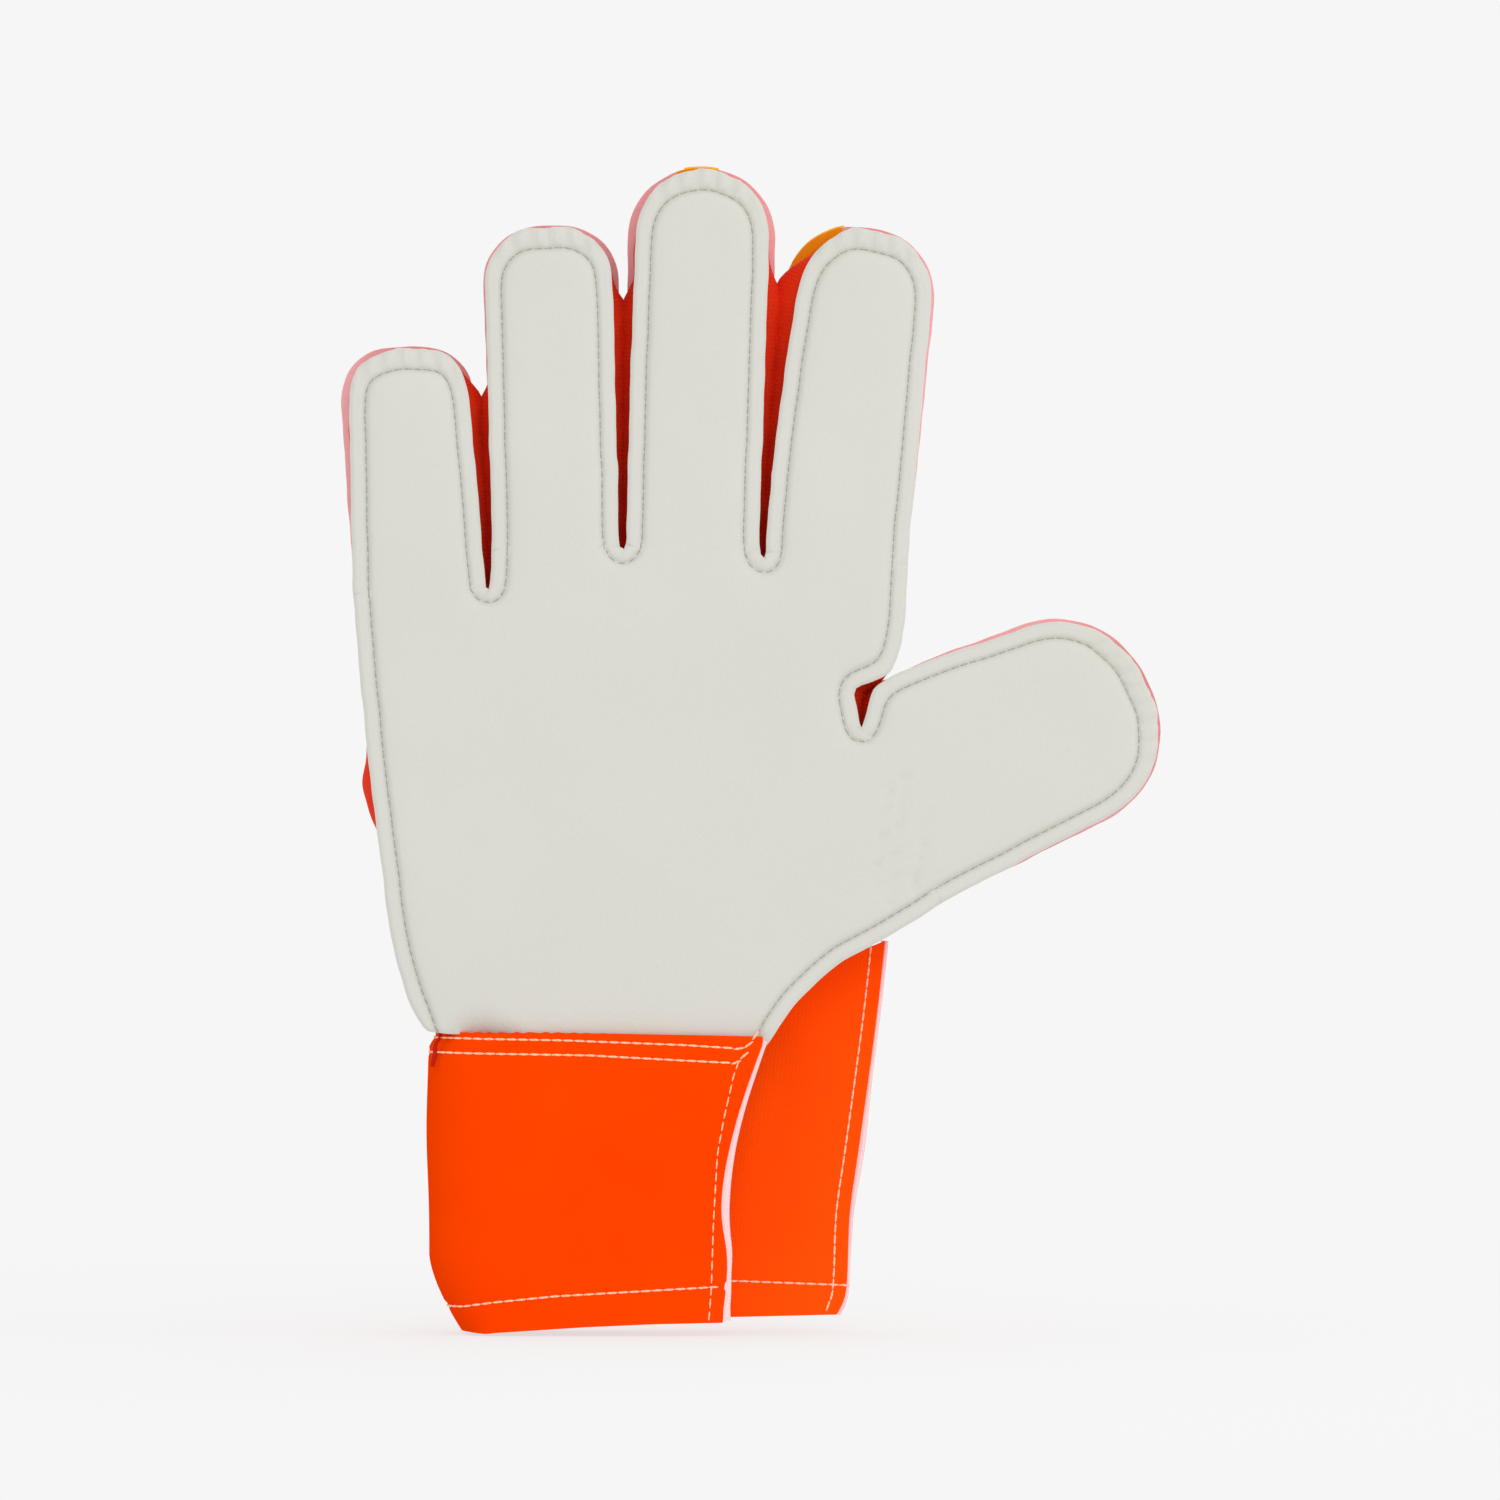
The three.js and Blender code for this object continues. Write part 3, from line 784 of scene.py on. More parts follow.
# ---------------------------------------------------------------- backhand
# Two millimetres of soft pale pink foam faced with grained synthetic leather. Flex lines are pressed
# into it, and its tips curve down towards the palm. Two fingertips carry a narrow amber patch.
BACK_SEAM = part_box("backhand_foam")[0].y / MM  # y of the foam's inner face
FOAM = 2.1
BACK_CROWN = 1.0
TIP_CURVE = 28  # length over which a tip curves down
TIP_DROP = 8.5
HEEL_HIDE = 1.6  # how far the backhand stays inside the palm's cut edge at the heel
HEEL_LEFT, HEEL_TOP = 26, 97
FLEX_LINES = (0.3, 0.62)  # along each finger, as shares of its length
FLEX_DEPTH = 0.95
HAND_FLEX = [
    ((-50, 100), (-2, 91), (48, 113)),
    ((-53, 122), (-2, 112), (46, 133)),
    ((-56, 144), (-2, 134), (44, 150)),
]


def arc(start, middle, end, count=17):
    """A shallow curve through three points."""
    start, middle, end = np.array([start, middle, end], float)
    pull = 2 * middle - (start + end) / 2
    t = np.linspace(0, 1, count)[:, None]
    return (1 - t) ** 2 * start + 2 * t * (1 - t) * pull + t**2 * end


FLEX = [
    ((-50, 100), (-30, 93), (0, 92), (28, 100), (48, 113)),
    ((-53, 122), (-30, 114), (0, 113), (26, 120), (46, 133)),
    ((-56, 144), (-30, 136), (0, 135), (26, 141), (44, 150)),
]


FLEX = [
    [digit.at(share * digit.length, side * (digit.half + 1)) for side in (-1, 1)]
    for digit in DIGITS
    for share in FLEX_LINES
] + [arc(*corners) for corners in HAND_FLEX]


def tip_sink(points):
    """How far the backhand curves down towards the palm near the tips, each point by its own digit."""
    away = [np.abs(digit.across(points)) - digit.half + 99 * (digit.along(points) < 0) for digit in DIGITS]
    own = np.argmin(away, axis=0)
    sink = np.zeros(len(points))
    for number, digit in enumerate(DIGITS):
        share = np.clip((digit.along(points) - digit.length + TIP_CURVE) / TIP_CURVE, 0, 1.15)
        sink = np.where(own == number, TIP_DROP * share**2.4, sink)
    return sink


def back_inner(points, cut, seam):
    return BACK_SEAM - tip_sink(points) + 0.4 * dip(seam, 0.8) - 0.15 * np.clip(seam / 4, 0, 1)


def back_outer(points, cut, seam):
    """y of the outside of the backhand: rounded edge, seam groove, crowned face and pressed flex lines."""
    y = BACK_SEAM + FOAM - 0.7 * np.clip(1 - cut / 0.9, 0, 1) ** 2 - tip_sink(points)
    y = y - 0.5 * dip(seam, 0.6) + BACK_CROWN * (1 - np.exp(-np.clip(seam, 0, None) / 2))
    inner = np.clip((seam - 1) / 2, 0, 1)
    pressed = np.minimum.reduce([distance_to(points, *corners) for corners in FLEX])
    y = y - FLEX_DEPTH * dip(pressed, 0.95) * inner
    return y + 0.15 * waves(points, 14, 4.0) * inner


def grained_leather(name, colour, shade):
    """Polyurethane leather on foam: satin, with a pebble grain of about a millimetre."""
    material, tree, shader = soft_surface(name, 0.6, 0.35)
    place = add(tree, "ShaderNodeTexCoord", out="Object")
    given = {"Vector": place, "Scale": 900}
    pebble = add(tree, "ShaderNodeTexVoronoi", given, "Distance", feature="SMOOTH_F1")
    tint_tone_and_shade_and_press(tree, shader, clouding(tree, 40, 4), shade, colour, pebble, 0.3, 0.0003)
    return material


PINK_FOAM = grained_leather("pu_leather_pink", "F0C4C6", "EAB8BC")
AMBER_FOAM = grained_leather("pu_leather_amber", "F2AE08", "E8A000")
back_edge = spaced(softened(joined_outline("backhand_foam", "back_foam")), CUT_STEP)
heel = Line(palm_cut.path + palm_cut.inward * HEEL_HIDE)
by_heel = (back_edge[:, 0] > HEEL_LEFT) & (back_edge[:, 1] < HEEL_TOP) & (heel.depth(back_edge) < 0)
back_edge[by_heel] = heel.path[heel.nearest(back_edge[by_heel])]
back_cut = Line(hand_cut(spaced(back_edge, CUT_STEP)))
back_seam = seam_of(back_cut)
back_panel = Panel(back_cut, back_seam, creases=FLEX)
back_pieces = panel_pieces(back_panel, back_inner, back_outer, named("backhand_pad", "back_pad"), PINK_FOAM)
settle(back_pieces, "back_foam", "backhand_foam", "backhand_foam")
BACK_THREAD = spun_thread("polyester_thread_pink", "F6D3D3", "E9BDBF")
BACK_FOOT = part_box("backhand_foam")[0].z / MM
seam_stitches(back_panel, back_outer, 1, named("back_seam", "back_seam"), BACK_THREAD, BACK_FOOT + 1)

# ---------------------------------------------------------------- tip patches
# Narrow patches of amber leather bonded on the backhand: a stripe over the middle fingertip, and one
# down the thumb side of the index fingertip that is turned round its edge.
PATCH = 0.9  # thickness
PATCH_LENGTH = 26
PATCH_SPAN = {"middle": (-4.5, 3.5), "index": (-17, -5)}


def tip_patch(digit, span):
    """The outer face of one digit's patch, between two lines along the digit."""
    digit_edge = back_cut.path[digit.beside(back_cut.path) & (digit.along(back_cut.path) > 0)]
    along, across = digit.along(digit_edge), digit.across(digit_edge)
    order = np.argsort(across)
    tip = order[along[order] > digit.length / 2]
    columns, rows = 15, 30
    grid = np.zeros((rows, columns, 3))
    for column, place in enumerate(np.linspace(*span, columns)):
        top = np.interp(place, across[tip], along[tip]) + 0.5
        reach = np.linspace(digit.length - PATCH_LENGTH, top, rows)
        flat = np.array([digit.at(a, place) for a in reach])
        edge = np.abs(place - np.mean(span)) / (np.ptp(span) / 2)
        y = level_on(back_outer, back_panel, flat) + PATCH - 0.45 * edge**6
        grid[:, column] = np.stack([flat[:, 0], y, flat[:, 1]], axis=1)
    return grid


def facing_of(grid):
    """Unit normals of a grid of points, along columns crossed with along rows."""
    normal = np.cross(np.gradient(grid, axis=1), np.gradient(grid, axis=0))
    return normal / np.maximum(np.linalg.norm(normal, axis=2, keepdims=True), 1e-9)


def sheet_from(name, grid, thickness, material, lift=None):
    """A closed sheet whose outer face is a grid of points in millimetres, facing along columns crossed
    with along rows. lift moves the outer face along its normals. Returns the piece and its cut size."""
    normal = facing_of(grid)
    outer = grid if lift is None else grid + normal * lift[:, :, None]
    inner = grid - normal * thickness
    rows, columns = grid.shape[:2]
    index = np.arange(rows * columns).reshape(rows, columns)
    quads = np.stack([index[:-1, :-1], index[:-1, 1:], index[1:, 1:], index[1:, :-1]], axis=2).reshape(-1, 4)
    under = quads[:, ::-1] + rows * columns
    rim = [*index[0, ::-1], *index[1:, 0], *index[-1, 1:], *index[-2:0:-1, -1]]
    rim_walls = [(a, b, b + rows * columns, a + rows * columns) for a, b in zip(rim, rim[1:] + rim[:1])]
    across = np.linalg.norm(np.diff(grid, axis=1), axis=2).mean(axis=0)
    along = np.linalg.norm(np.diff(grid, axis=0), axis=2).mean(axis=1)
    u = np.tile(np.concatenate([[0], np.cumsum(across)]), (rows, 1))
    v = np.tile(np.concatenate([[0], np.cumsum(along)])[:, None], (1, columns))
    uv = np.stack([u, v], axis=2).reshape(-1, 2)
    places = np.vstack([outer.reshape(-1, 3), inner.reshape(-1, 3)])
    piece = mesh_piece(name, places, [*quads, *under, *rim_walls], np.vstack([uv, uv]))
    piece.data.set_sharp_from_angle(angle=math.radians(50))
    piece.data.materials.append(material)
    return piece, (across.sum() * MM, along.sum() * MM)


def dye_amber(digit, piece, span):
    """Colours the foam's rim and inner face at a patch, where they show from the palm side."""
    piece.data.materials.append(AMBER_FOAM)
    for face in piece.data.polygons:
        place = np.array([face.center.x, face.center.z]) / MM
        on_stripe = span[0] - 2 < digit.across(place) < span[1]
        if on_stripe and digit.along(place) > digit.length - PATCH_LENGTH and face.normal.y < 0.3:
            face.material_index = 1


for number, digit in enumerate(DIGITS):
    if digit.name in PATCH_SPAN:
        dye_amber(digit, back_pieces[number], PATCH_SPAN[digit.name])
        patch, cut_size = sheet_from(
            f"{digit.name}_amber_patch", tip_patch(digit, PATCH_SPAN[digit.name])[:, ::-1], PATCH, AMBER_FOAM
        )
        digit.blend(patch)
        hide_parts(f"{digit.name}_tip_patch")

# ---------------------------------------------------------------- gussets
# Strips of brushed red-orange jersey that join palm and backhand all the way round. Between the fingers
# they belly out until they touch, so nothing shows through; elsewhere they stay behind the cut edge.
GUSSET = 0.8  # thickness
BELLY = 3.0  # how far a free gusset bulges
FULL_BELLY = 8.6  # the most that one bulges to fill the gap between two fingers
FINGER_GAPS = (-15, 22)  # x that parts the little finger's gap from the next, and that from the third
GAP_SHORTFALL = (9, 15, 11)  # how far below the shorter fingertip each gap stops being filled
MOUTH = (60.5, 158)  # x and z at which the crotch of the thumb opens out
KNUCKLE_HEIGHT = 170
SIDE_BULGE = (127, 9, 3.2)  # the fold that stands out at the little finger's side: z, half length, amount


def jersey(name, colour, shade, wale, relief=0.00025):
    """Knitted cloth: soft and quite matt, with wales and courses about a millimetre apart. The hollows
    between its loops are tinted towards the darker colour, which is painted shade; the tint also varies in
    soft patches at random.
    """
    material, tree, shader = soft_surface(name, 0.9, 0.2)
    flat = add(tree, "ShaderNodeUVMap", uv_map="cloth")
    frequency = math.pi / 10 / (wale * MM)
    wales = add(tree, "ShaderNodeTexWave", {"Vector": flat, "Scale": frequency, "Distortion": 0.6}, out="Fac")
    rows = {"Vector": flat, "Scale": frequency * 1.3, "Distortion": 0.6}
    courses = add(tree, "ShaderNodeTexWave", rows, "Fac", bands_direction="Y")
    loops = add(tree, "ShaderNodeMath", {0: wales, 1: courses}, operation="MULTIPLY")
    mixed = {0: loops, 1: 0.45, 2: clouding(tree, 60, 5)}
    blend = add(tree, "ShaderNodeMath", mixed, operation="MULTIPLY_ADD")
    tint_tone_and_shade_and_press(tree, shader, blend, shade, colour, loops, 0.6, relief)
    return material


def room_outside(line, reach):
    """How far each point of a closed line can move outwards before another stretch of it is nearer."""
    room = np.full(len(line.path), reach)
    for step in np.arange(0.6, reach, 0.15):
        away = -line.depth(line.path - line.inward * step)
        room = np.where((away < step - 0.1) & (room > step), step, room)
    return room


def gusset_wall():
    """The whole band round the glove: rows from palm to back, columns clockwise round the seam."""
    path = palm_seam.path
    room = room_outside(palm_seam, FULL_BELLY)
    belly = np.where(room < FULL_BELLY, room + 0.6, BELLY)
    belly = np.maximum(belly, smoothed(belly, 2))
    tops = [digit.at(digit.length)[1] for digit in DIGITS[:4]]
    between = np.clip(np.searchsorted(FINGER_GAPS, path[:, 0]), 0, 2)
    full_up_to = np.array([min(tops[k : k + 2]) - GAP_SHORTFALL[k] for k in range(3)])[between]
    by_thumb = (path[:, 1] < KNUCKLE_HEIGHT) & (path[:, 0] > 0)
    share = np.clip((full_up_to + 2 - path[:, 1]) / 6, 0, 1)
    in_crotch = np.clip((np.array(MOUTH) - path) / 3, 0, 1).min(axis=1)
    share = np.where(by_thumb, in_crotch, share)
    belly = BELLY + (belly - BELLY) * share
    middle, half, amount = SIDE_BULGE
    ulnar = (path[:, 0] < -45) & (np.abs(path[:, 1] - middle) < half * 2)
    belly = belly + np.where(ulnar, amount * dip(path[:, 1] - middle, half), 0)
    belly = smoothed(belly, 2) * np.clip((path[:, 1] - CUFF_TOP + 3) / 9, 0.1, 1)
    over = back_seam.path[back_seam.nearest(path)]
    far = np.linalg.norm(over - path, axis=1) > 6
    shift = smoothed(np.where(far[:, None], 0, over - path), 4)
    start = level_on(palm_rear, palm_panel, path) - 0.3
    end = level_on(back_inner, back_panel, path + shift) + 0.2
    rows = np.linspace(0, 1, 15)
    grid = np.zeros((len(rows), len(path), 3))
    turn = np.arange(len(path))
    for row, share in enumerate(rows):
        bow = math.sin(math.pi * share)
        out = belly * bow**0.6 + 0.18 * np.sin(turn * 0.9 + 5 * share) * bow
        flat = path + shift * share - palm_seam.inward * out[:, None]
        grid[row] = np.stack([flat[:, 0], start + (end - start) * share, flat[:, 1]], axis=1)
    return grid


WALL = gusset_wall()
# The jersey's red-orange is a little deeper and redder than the cuff's orange: that difference is painted
# shade for the gaps between the fingers.
GUSSET_JERSEY = jersey("jersey_red_orange", "EC3408", "D42400", wale=1.0)
GUSSET_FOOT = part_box("ulnar_side_gusset")[0].z / MM - 3
CROTCH_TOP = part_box("index_side_gusset")[0].z / MM
wall_label = palm_panel.region_at(palm_seam.path)
wall_label[palm_seam.path[:, 1] < GUSSET_FOOT] = -2


def wall_piece(name, columns, nodes, digit=None):
    """One stretch of the gusset band as a sheet of its own."""
    piece, cut_size = sheet_from(name, WALL[:, columns], GUSSET, GUSSET_JERSEY)
    if digit is None:
        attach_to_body(piece, "hand")
    else:
        digit.blend(piece)
    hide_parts(*nodes)


# The hand's stretches in order, clockwise from the wrist; the digits' stretches come in between.
HAND_WALLS = [
    ("ulnar_side_wall", "ulnar_side_gusset"),
    ("finger_wall_little_ring", "fourchette_little_ring"),
    ("finger_wall_ring_middle", "fourchette_ring_middle"),
    ("finger_wall_middle_index", "fourchette_middle_index"),
    ("index_side_wall", "index_side_gusset"),
    ("thumb_base_wall", "thumb_base_gusset"),
]
spans = stretches(wall_label.tolist())
wrist = next(i for i, (label, _) in enumerate(spans) if label == -2)
walls_left = list(HAND_WALLS)
for label, columns in spans[wrist + 1 :] + spans[:wrist]:
    if label >= 0:
        digit = DIGITS[label]
        around = [columns[0] - 1, *columns, (columns[-1] + 1) % len(wall_label)]
        tip = int(digit.along(palm_seam.path[around]).argmax())
        for side, part in (("left", around[: tip + 1]), ("right", around[tip:])):
            wall_piece(f"{digit.name}_side_{side}", part, [f"{digit.name}_gusset_{side}"], digit)
        continue
    name, node = walls_left.pop(0)
    if node == "index_side_gusset":
        split = int(np.argmax(palm_seam.path[columns][:, 1] < CROTCH_TOP))
        wall_piece("thumb_web_wall", columns[split:], ["thumb_web_gusset"])
        columns = columns[: split + 1]
    wall_piece(name, columns, [node])

# ---------------------------------------------------------------- linings
# Thin rose tricot bonded inside the palm and inside the backhand, cut a little smaller than both.
LINING = 0.7
LINING_GAP = 0.12
LINING_ROSE = jersey("tricot_rose", "EBB6AE", "DFA59E", wale=0.8)


def level_beside(surface, panel, gap):
    """A surface at a distance towards the back (gap above zero) or the palm from another panel's."""
    return lambda points, cut, seam: level_on(surface, panel, points) + gap


def add_lining(name, outer, front, rear):
    """Makes a lining inside an outer panel's seam, and splits it at the knuckles."""
    cut = Line(spaced(outer.cut.inset(ALLOWANCE + 0.9), 2.5))
    panel = Panel(cut, cut, coarse=4.5, fine=False)
    pieces = panel_pieces(panel, front, rear, named(name, name), LINING_ROSE)
    for region, piece in pieces.items():
        corners = panel.points[panel.triangles[panel.region == region]] * MM
        (ax, az), (bx, bz), (cx, cz) = corners.transpose(1, 2, 0)
    return pieces


palm_faces = [level_beside(palm_rear, palm_panel, gap) for gap in (LINING_GAP, LINING_GAP + LINING)]
palm_tricot = add_lining("palm_tricot", palm_panel, *palm_faces)
settle(palm_tricot, "palm_lining", "palm_lining", "lining")
back_faces = [level_beside(back_inner, back_panel, gap) for gap in (-LINING_GAP - LINING, -LINING_GAP)]
back_tricot = add_lining("back_tricot", back_panel, *back_faces)
attach(back_tricot[-1], "lining", "backhand_lining")
for region, piece in back_tricot.items():
    if region >= 0:
        DIGITS[region].blend(piece)

# ---------------------------------------------------------------- cuff front
# The palm side of the cuff: one piece of bright orange laminated polyester that wraps round the
# little finger's side to the back. It is hemmed at the foot, sewn to the palm with two rows of
# lock stitch, and its slit edge is turned and topstitched.
CUFF = 1.6  # thickness
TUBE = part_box("cuff_side_panel")
TUBE_RADIUS = (TUBE[1].y - TUBE[0].y) / 2 / MM
TUBE_X = TUBE[1].x / MM  # where the flat front ends and the wrap round the side begins
TUBE_Y = (TUBE[1].y + TUBE[0].y) / 2 / MM
CUFF_TURN = math.pi * TUBE_RADIUS  # length of the wrap
FOOT_CORNER = 18  # height over which the side pulls in towards the foot
FOOT_PULL = 0.5  # share of its reach that the side loses there
STAND_OUT = (46, 14, 0.04)  # where the side stands out a little more: z, half length, share
HEAD_PINCH = (66.3, 3.7, 0.11)  # where the side draws in to meet the palm: z, length, share
CUFF_HEAD = 70.1
FOOT_LINE = ((-90, 0.3), (-48, 0.3), (-38, 0.0), (-13, 1.6), (3, 2.3), (17, 2.6), (60, 3.6))
HEM = ((-90, 5.6), (-45, 6.3), (-20, 8.8), (16, 10.9), (22, 11.2), (46, 10.2), (60, 10))
UPPER_ROW = ((-90, 68.6), (-46, 68.8), (-18, 68.3), (10, 67.2), (24.2, 66.3), (26.6, 69.4))
LOWER_ROW = ((-90, 65.2), (-47, 65.4), (-12, 64.8), (8, 63.7), (22.2, 63.0), (24.0, 64.8))
SLIT_ROW = ((22.4, 62.6), (21.6, 60.5), (19.2, 50), (17.7, 41.6), (16.8, 26), (16.3, 10.5), (15.8, 4.2))
ROW_DENT = 0.35


def side_edge(node, least):
    """The right-hand edge of a cuff panel, from its foot up, as an evenly spaced line."""
    edge = outline_of(node)
    edge = edge[edge[:, 0] > least]
    line = spaced(edge[np.argsort(edge[:, 1])], 1.0, closed=False)
    for _ in range(6):
        line[1:-1] = (line[:-2] + line[1:-1] + line[2:]) / 3
    return line


SLIT = side_edge("cuff_palm_panel", 15)


def slit_x(z):
    return np.interp(z, SLIT[:, 1], SLIT[:, 0]) + 0.25 * np.sin(np.asarray(z) / 7)


def along_line(x, corners):
    """Height of a line through corners at x."""
    corners = np.array(corners)
    return np.interp(x, corners[:, 0], corners[:, 1])


# Slack folds: the corners of each on the flat cuff, its depth and its half width.
SLACK_BY_SLIT = ((12.5, 58), (11.5, 40), (12.5, 18)), 0.35, 2.2
FOLD_AT_CORNER = ((-47.5, 70), (-49.5, 66), (-51.5, 61)), 0.9, 0.9


def cuff_relief(flat):
    """How far the cuff's face stands out from its sheet: stitched rows pull it in, the cloth between
    them fills, and two slack folds run down from its head."""
    rise = 0.25 * waves(flat, 15, 2.0)
    for row in (HEM, UPPER_ROW, LOWER_ROW, SLIT_ROW):
        rise = rise - ROW_DENT * dip(distance_to(flat, *row), 0.8)
    for corners, depth, half_width in (SLACK_BY_SLIT, FOLD_AT_CORNER):
        rise = rise - depth * dip(distance_to(flat, *corners), half_width)
    return rise


def cuff_place(flat, lift=0.0):
    """Bends points of the flat cuff, (x, z) with x run on round the side, to their place in space."""
    x, z = flat[..., 0], flat[..., 1]
    turn = np.clip((TUBE_X - x) / TUBE_RADIUS, 0, math.pi)
    radius = TUBE_RADIUS + lift
    middle, half, amount = STAND_OUT
    pull = 1 - FOOT_PULL * np.clip((FOOT_CORNER - z) / FOOT_CORNER, 0, 1) ** 1.5
    pull = pull + amount * dip(z - middle, half)
    start, length, amount = HEAD_PINCH
    pull = pull * (1 - amount * np.clip((z - start) / length, 0, 1))
    place_x = np.where(x < TUBE_X, TUBE_X - radius * np.sin(turn) * pull, x)
    return np.stack([place_x, TUBE_Y - radius * np.cos(turn), z], axis=-1)


def cuff_front_grid():
    """Rows from foot to head, columns from the slit round to the back."""
    share = np.linspace(0, 1, 60)[:, None]
    flat_columns, wrap_columns = 48, 34
    z = share * CUFF_HEAD
    rim = slit_x(z)
    x = np.hstack([rim + (TUBE_X - rim) * k for k in np.linspace(0, 1, flat_columns)])
    wrap = np.linspace(0, CUFF_TURN, wrap_columns)[1:]
    x = np.hstack([x, np.broadcast_to(TUBE_X - wrap, (len(share), wrap_columns - 1))])
    foot = along_line(x, FOOT_LINE)
    head = CUFF_HEAD - 0.9 * np.clip((x + 20) / 48, 0, 1) + 0.22 * np.sin(x * 1.9) * np.clip(-x / 25, 0, 1)
    return np.stack([x, foot + (head - foot) * share], axis=2)


def laminated_cloth(name, colour, shade, thread=0.55):
    """Polyester cloth laminated to thin foam: satin, dyed evenly, with a plain weave of half-millimetre
    threads, and soft uneven patches of a slightly redder cast that are painted shade of the kind slack folds
    show."""
    material, tree, shader = soft_surface(name, 0.9, 0.0)
    flat = add(tree, "ShaderNodeUVMap", uv_map="cloth")
    frequency = math.pi / 10 / (thread * MM)
    given = {"Vector": flat, "Scale": frequency}
    warp, weft = [add(tree, "ShaderNodeTexWave", given, "Fac", bands_direction=way) for way in "XY"]
    weave = add(tree, "ShaderNodeMath", {0: warp, 1: weft}, operation="MAXIMUM")
    tint_tone_and_shade_and_press(tree, shader, clouding(tree, 35, 3), shade, colour, weave, 0.35, 0.00012)
    return material


CUFF_ORANGE = laminated_cloth("laminated_polyester_orange", "F24400", "EA3800")
cuff_flat = cuff_front_grid()[:, ::-1]
cuff_lift = cuff_relief(cuff_flat.reshape(-1, 2)).reshape(cuff_flat.shape[:2])
cuff_front, cuff_size = sheet_from("cuff_front", cuff_place(cuff_flat), CUFF, CUFF_ORANGE, lift=cuff_lift)
attach(cuff_front, "cuff_fabric", "cuff_palm_panel", "cuff_side_panel")

CUFF_STITCH = {"pitch": 2.6, "length": 2.75, "thickness": 0.62}
SLIT_STITCH = {"pitch": 2.9, "length": 2.5, "thickness": 0.45}
PEACH_THREAD = spun_thread("polyester_thread_peach", "FFC6A0", "FFA87A")


def cuff_row(corners, least_x=-83):
    """A stitched row's points on the outside of the cuff, and the direction that is up at each."""
    line = spaced(np.array(corners, float), 1.1, closed=False)
    line = line[line[:, 0] > least_x]
    rise = cuff_relief(line)
    on, off = cuff_place(line, rise + 0.12), cuff_place(line, rise + 1.12)
    return on, off - on


TAIL = ((-52.4, 62), (-51.6, 64), (-51.3, 67), (-51.2, 70.4))  # on the flat cuff
TAIL_HALF = 0.7  # half width where it is widest
# A darker copy of the gusset jersey: painted shade for the side strip's end, where it is caught in the seam.
GUSSET_PAINTED_SHADE = jersey("jersey_dark_red", "C81C06", "AC1405", wale=1.0)


def seam_tail():
    """The end of the red side strip, caught in the seam where palm and cuff meet at the left."""
    line = spaced(np.array(TAIL), 0.4, closed=False)
    up = np.linspace(0, 1, len(line))[:, None]
    side = np.linspace(-1, 1, 9)[None, :]
    half = TAIL_HALF * np.sin(math.pi * (0.12 + 0.8 * up)) * (1 + 0.25 * np.sin(up * 19))
    flat = np.stack([line[:, :1] + side * half, np.broadcast_to(line[:, 1:], (len(line), 9))], axis=2)
    rise = cuff_relief(flat.reshape(-1, 2)).reshape(flat.shape[:2])
    return cuff_place(flat, rise + 0.15 + 0.45 * (1 - side**2))


tail, _ = sheet_from("side_strip_tail", seam_tail(), 0.5, GUSSET_PAINTED_SHADE)
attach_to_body(tail, "hand")

front_hem = [corner for corner in HEM if corner[0] < 16] + [(17.0, 10.95)]
for name, rows, size in (
    ("cuff_front_stitches", (front_hem, UPPER_ROW, LOWER_ROW), CUFF_STITCH),
    ("slit_stitches", (SLIT_ROW,), SLIT_STITCH),
):
    runs, ups = zip(*[cuff_row(row) for row in rows])
    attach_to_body(stitched(name, runs, list(ups), PEACH_THREAD, **size), "hand")

# ---------------------------------------------------------------- cuff back
# The back of the cuff: the same laminated cloth outside, and an orange facing inside that shows
# through the open slit. Hem and edge are sewn through both.
CUFF_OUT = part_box("cuff_back_panel")[1].y / MM
FACING_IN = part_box("cuff_back_lining")[0].y / MM
BACK_RIM = side_edge("cuff_back_panel", 44)
BACK_RIM[:, 0] -= 1.8 * np.clip((9 - BACK_RIM[:, 1]) / 6, 0, 1) ** 2  # the rounded corner at its foot
BACK_HEAD = arc((-34, 71), (12, 76.5), (57, 91))
RIM_ROW_INSET = 3.2
HEAD_ROW_INSET = 3.0
ROW_FOOT = 4.4  # z where the upright rows stop
HEM_END = 47.4  # x where the hem's row stops, by the open edge


def stretched_grid(foot, head, left, right, rows, columns):
    """A flat grid stretched between four lines of (x, z) points that meet at their ends."""
    foot, head = spaced(foot, 1, False), spaced(head, 1, False)

    def on(line, share):
        mark = np.linspace(0, 1, len(line))
        return np.stack([np.interp(share, mark, line[:, k]) for k in (0, 1)], axis=-1)

    u, v = np.meshgrid(np.linspace(0, 1, columns), np.linspace(0, 1, rows))
    across, up = u[..., None], v[..., None]
    between = (1 - up) * on(foot, u) + up * on(head, u) + (1 - across) * on(left, v) + across * on(right, v)
    corners = (1 - across) * (1 - up) * foot[0] + across * (1 - up) * foot[-1]
    corners = corners + (1 - across) * up * head[0] + across * up * head[-1]
    return between - corners


def cuff_back_flat(rows=64, columns=60):
    """Points over the back panel's own outline."""
    right = BACK_RIM.copy()
    foot = np.array([(x, along_line(x, FOOT_LINE)) for x in np.linspace(TUBE_X, right[0, 0], 40)])
    right[0] = foot[-1]
    head = np.vstack([BACK_HEAD[:-1], right[-1:]])
    left = np.array([foot[0], head[0]])
    return stretched_grid(foot, head, left, right, rows, columns)


def back_relief(flat):
    """The inside facing's slack, and the pull of the rows of stitches."""
    rise = 0.3 * waves(flat, 13, 5.0)
    rise = rise - ROW_DENT * dip(distance_to(flat, *HEM), 0.8)
    rise = rise - ROW_DENT * dip(distance_to(flat, *(BACK_RIM - np.array([RIM_ROW_INSET, 0]))[::8]), 0.8)
    rise = rise - 0.6 * dip(distance_to(flat, (30, 74), (33, 58), (29, 40)), 4)
    return rise


def on_back(flat, level):
    return np.stack([flat[..., 0], np.broadcast_to(level, flat.shape[:-1]), flat[..., 1]], axis=-1)


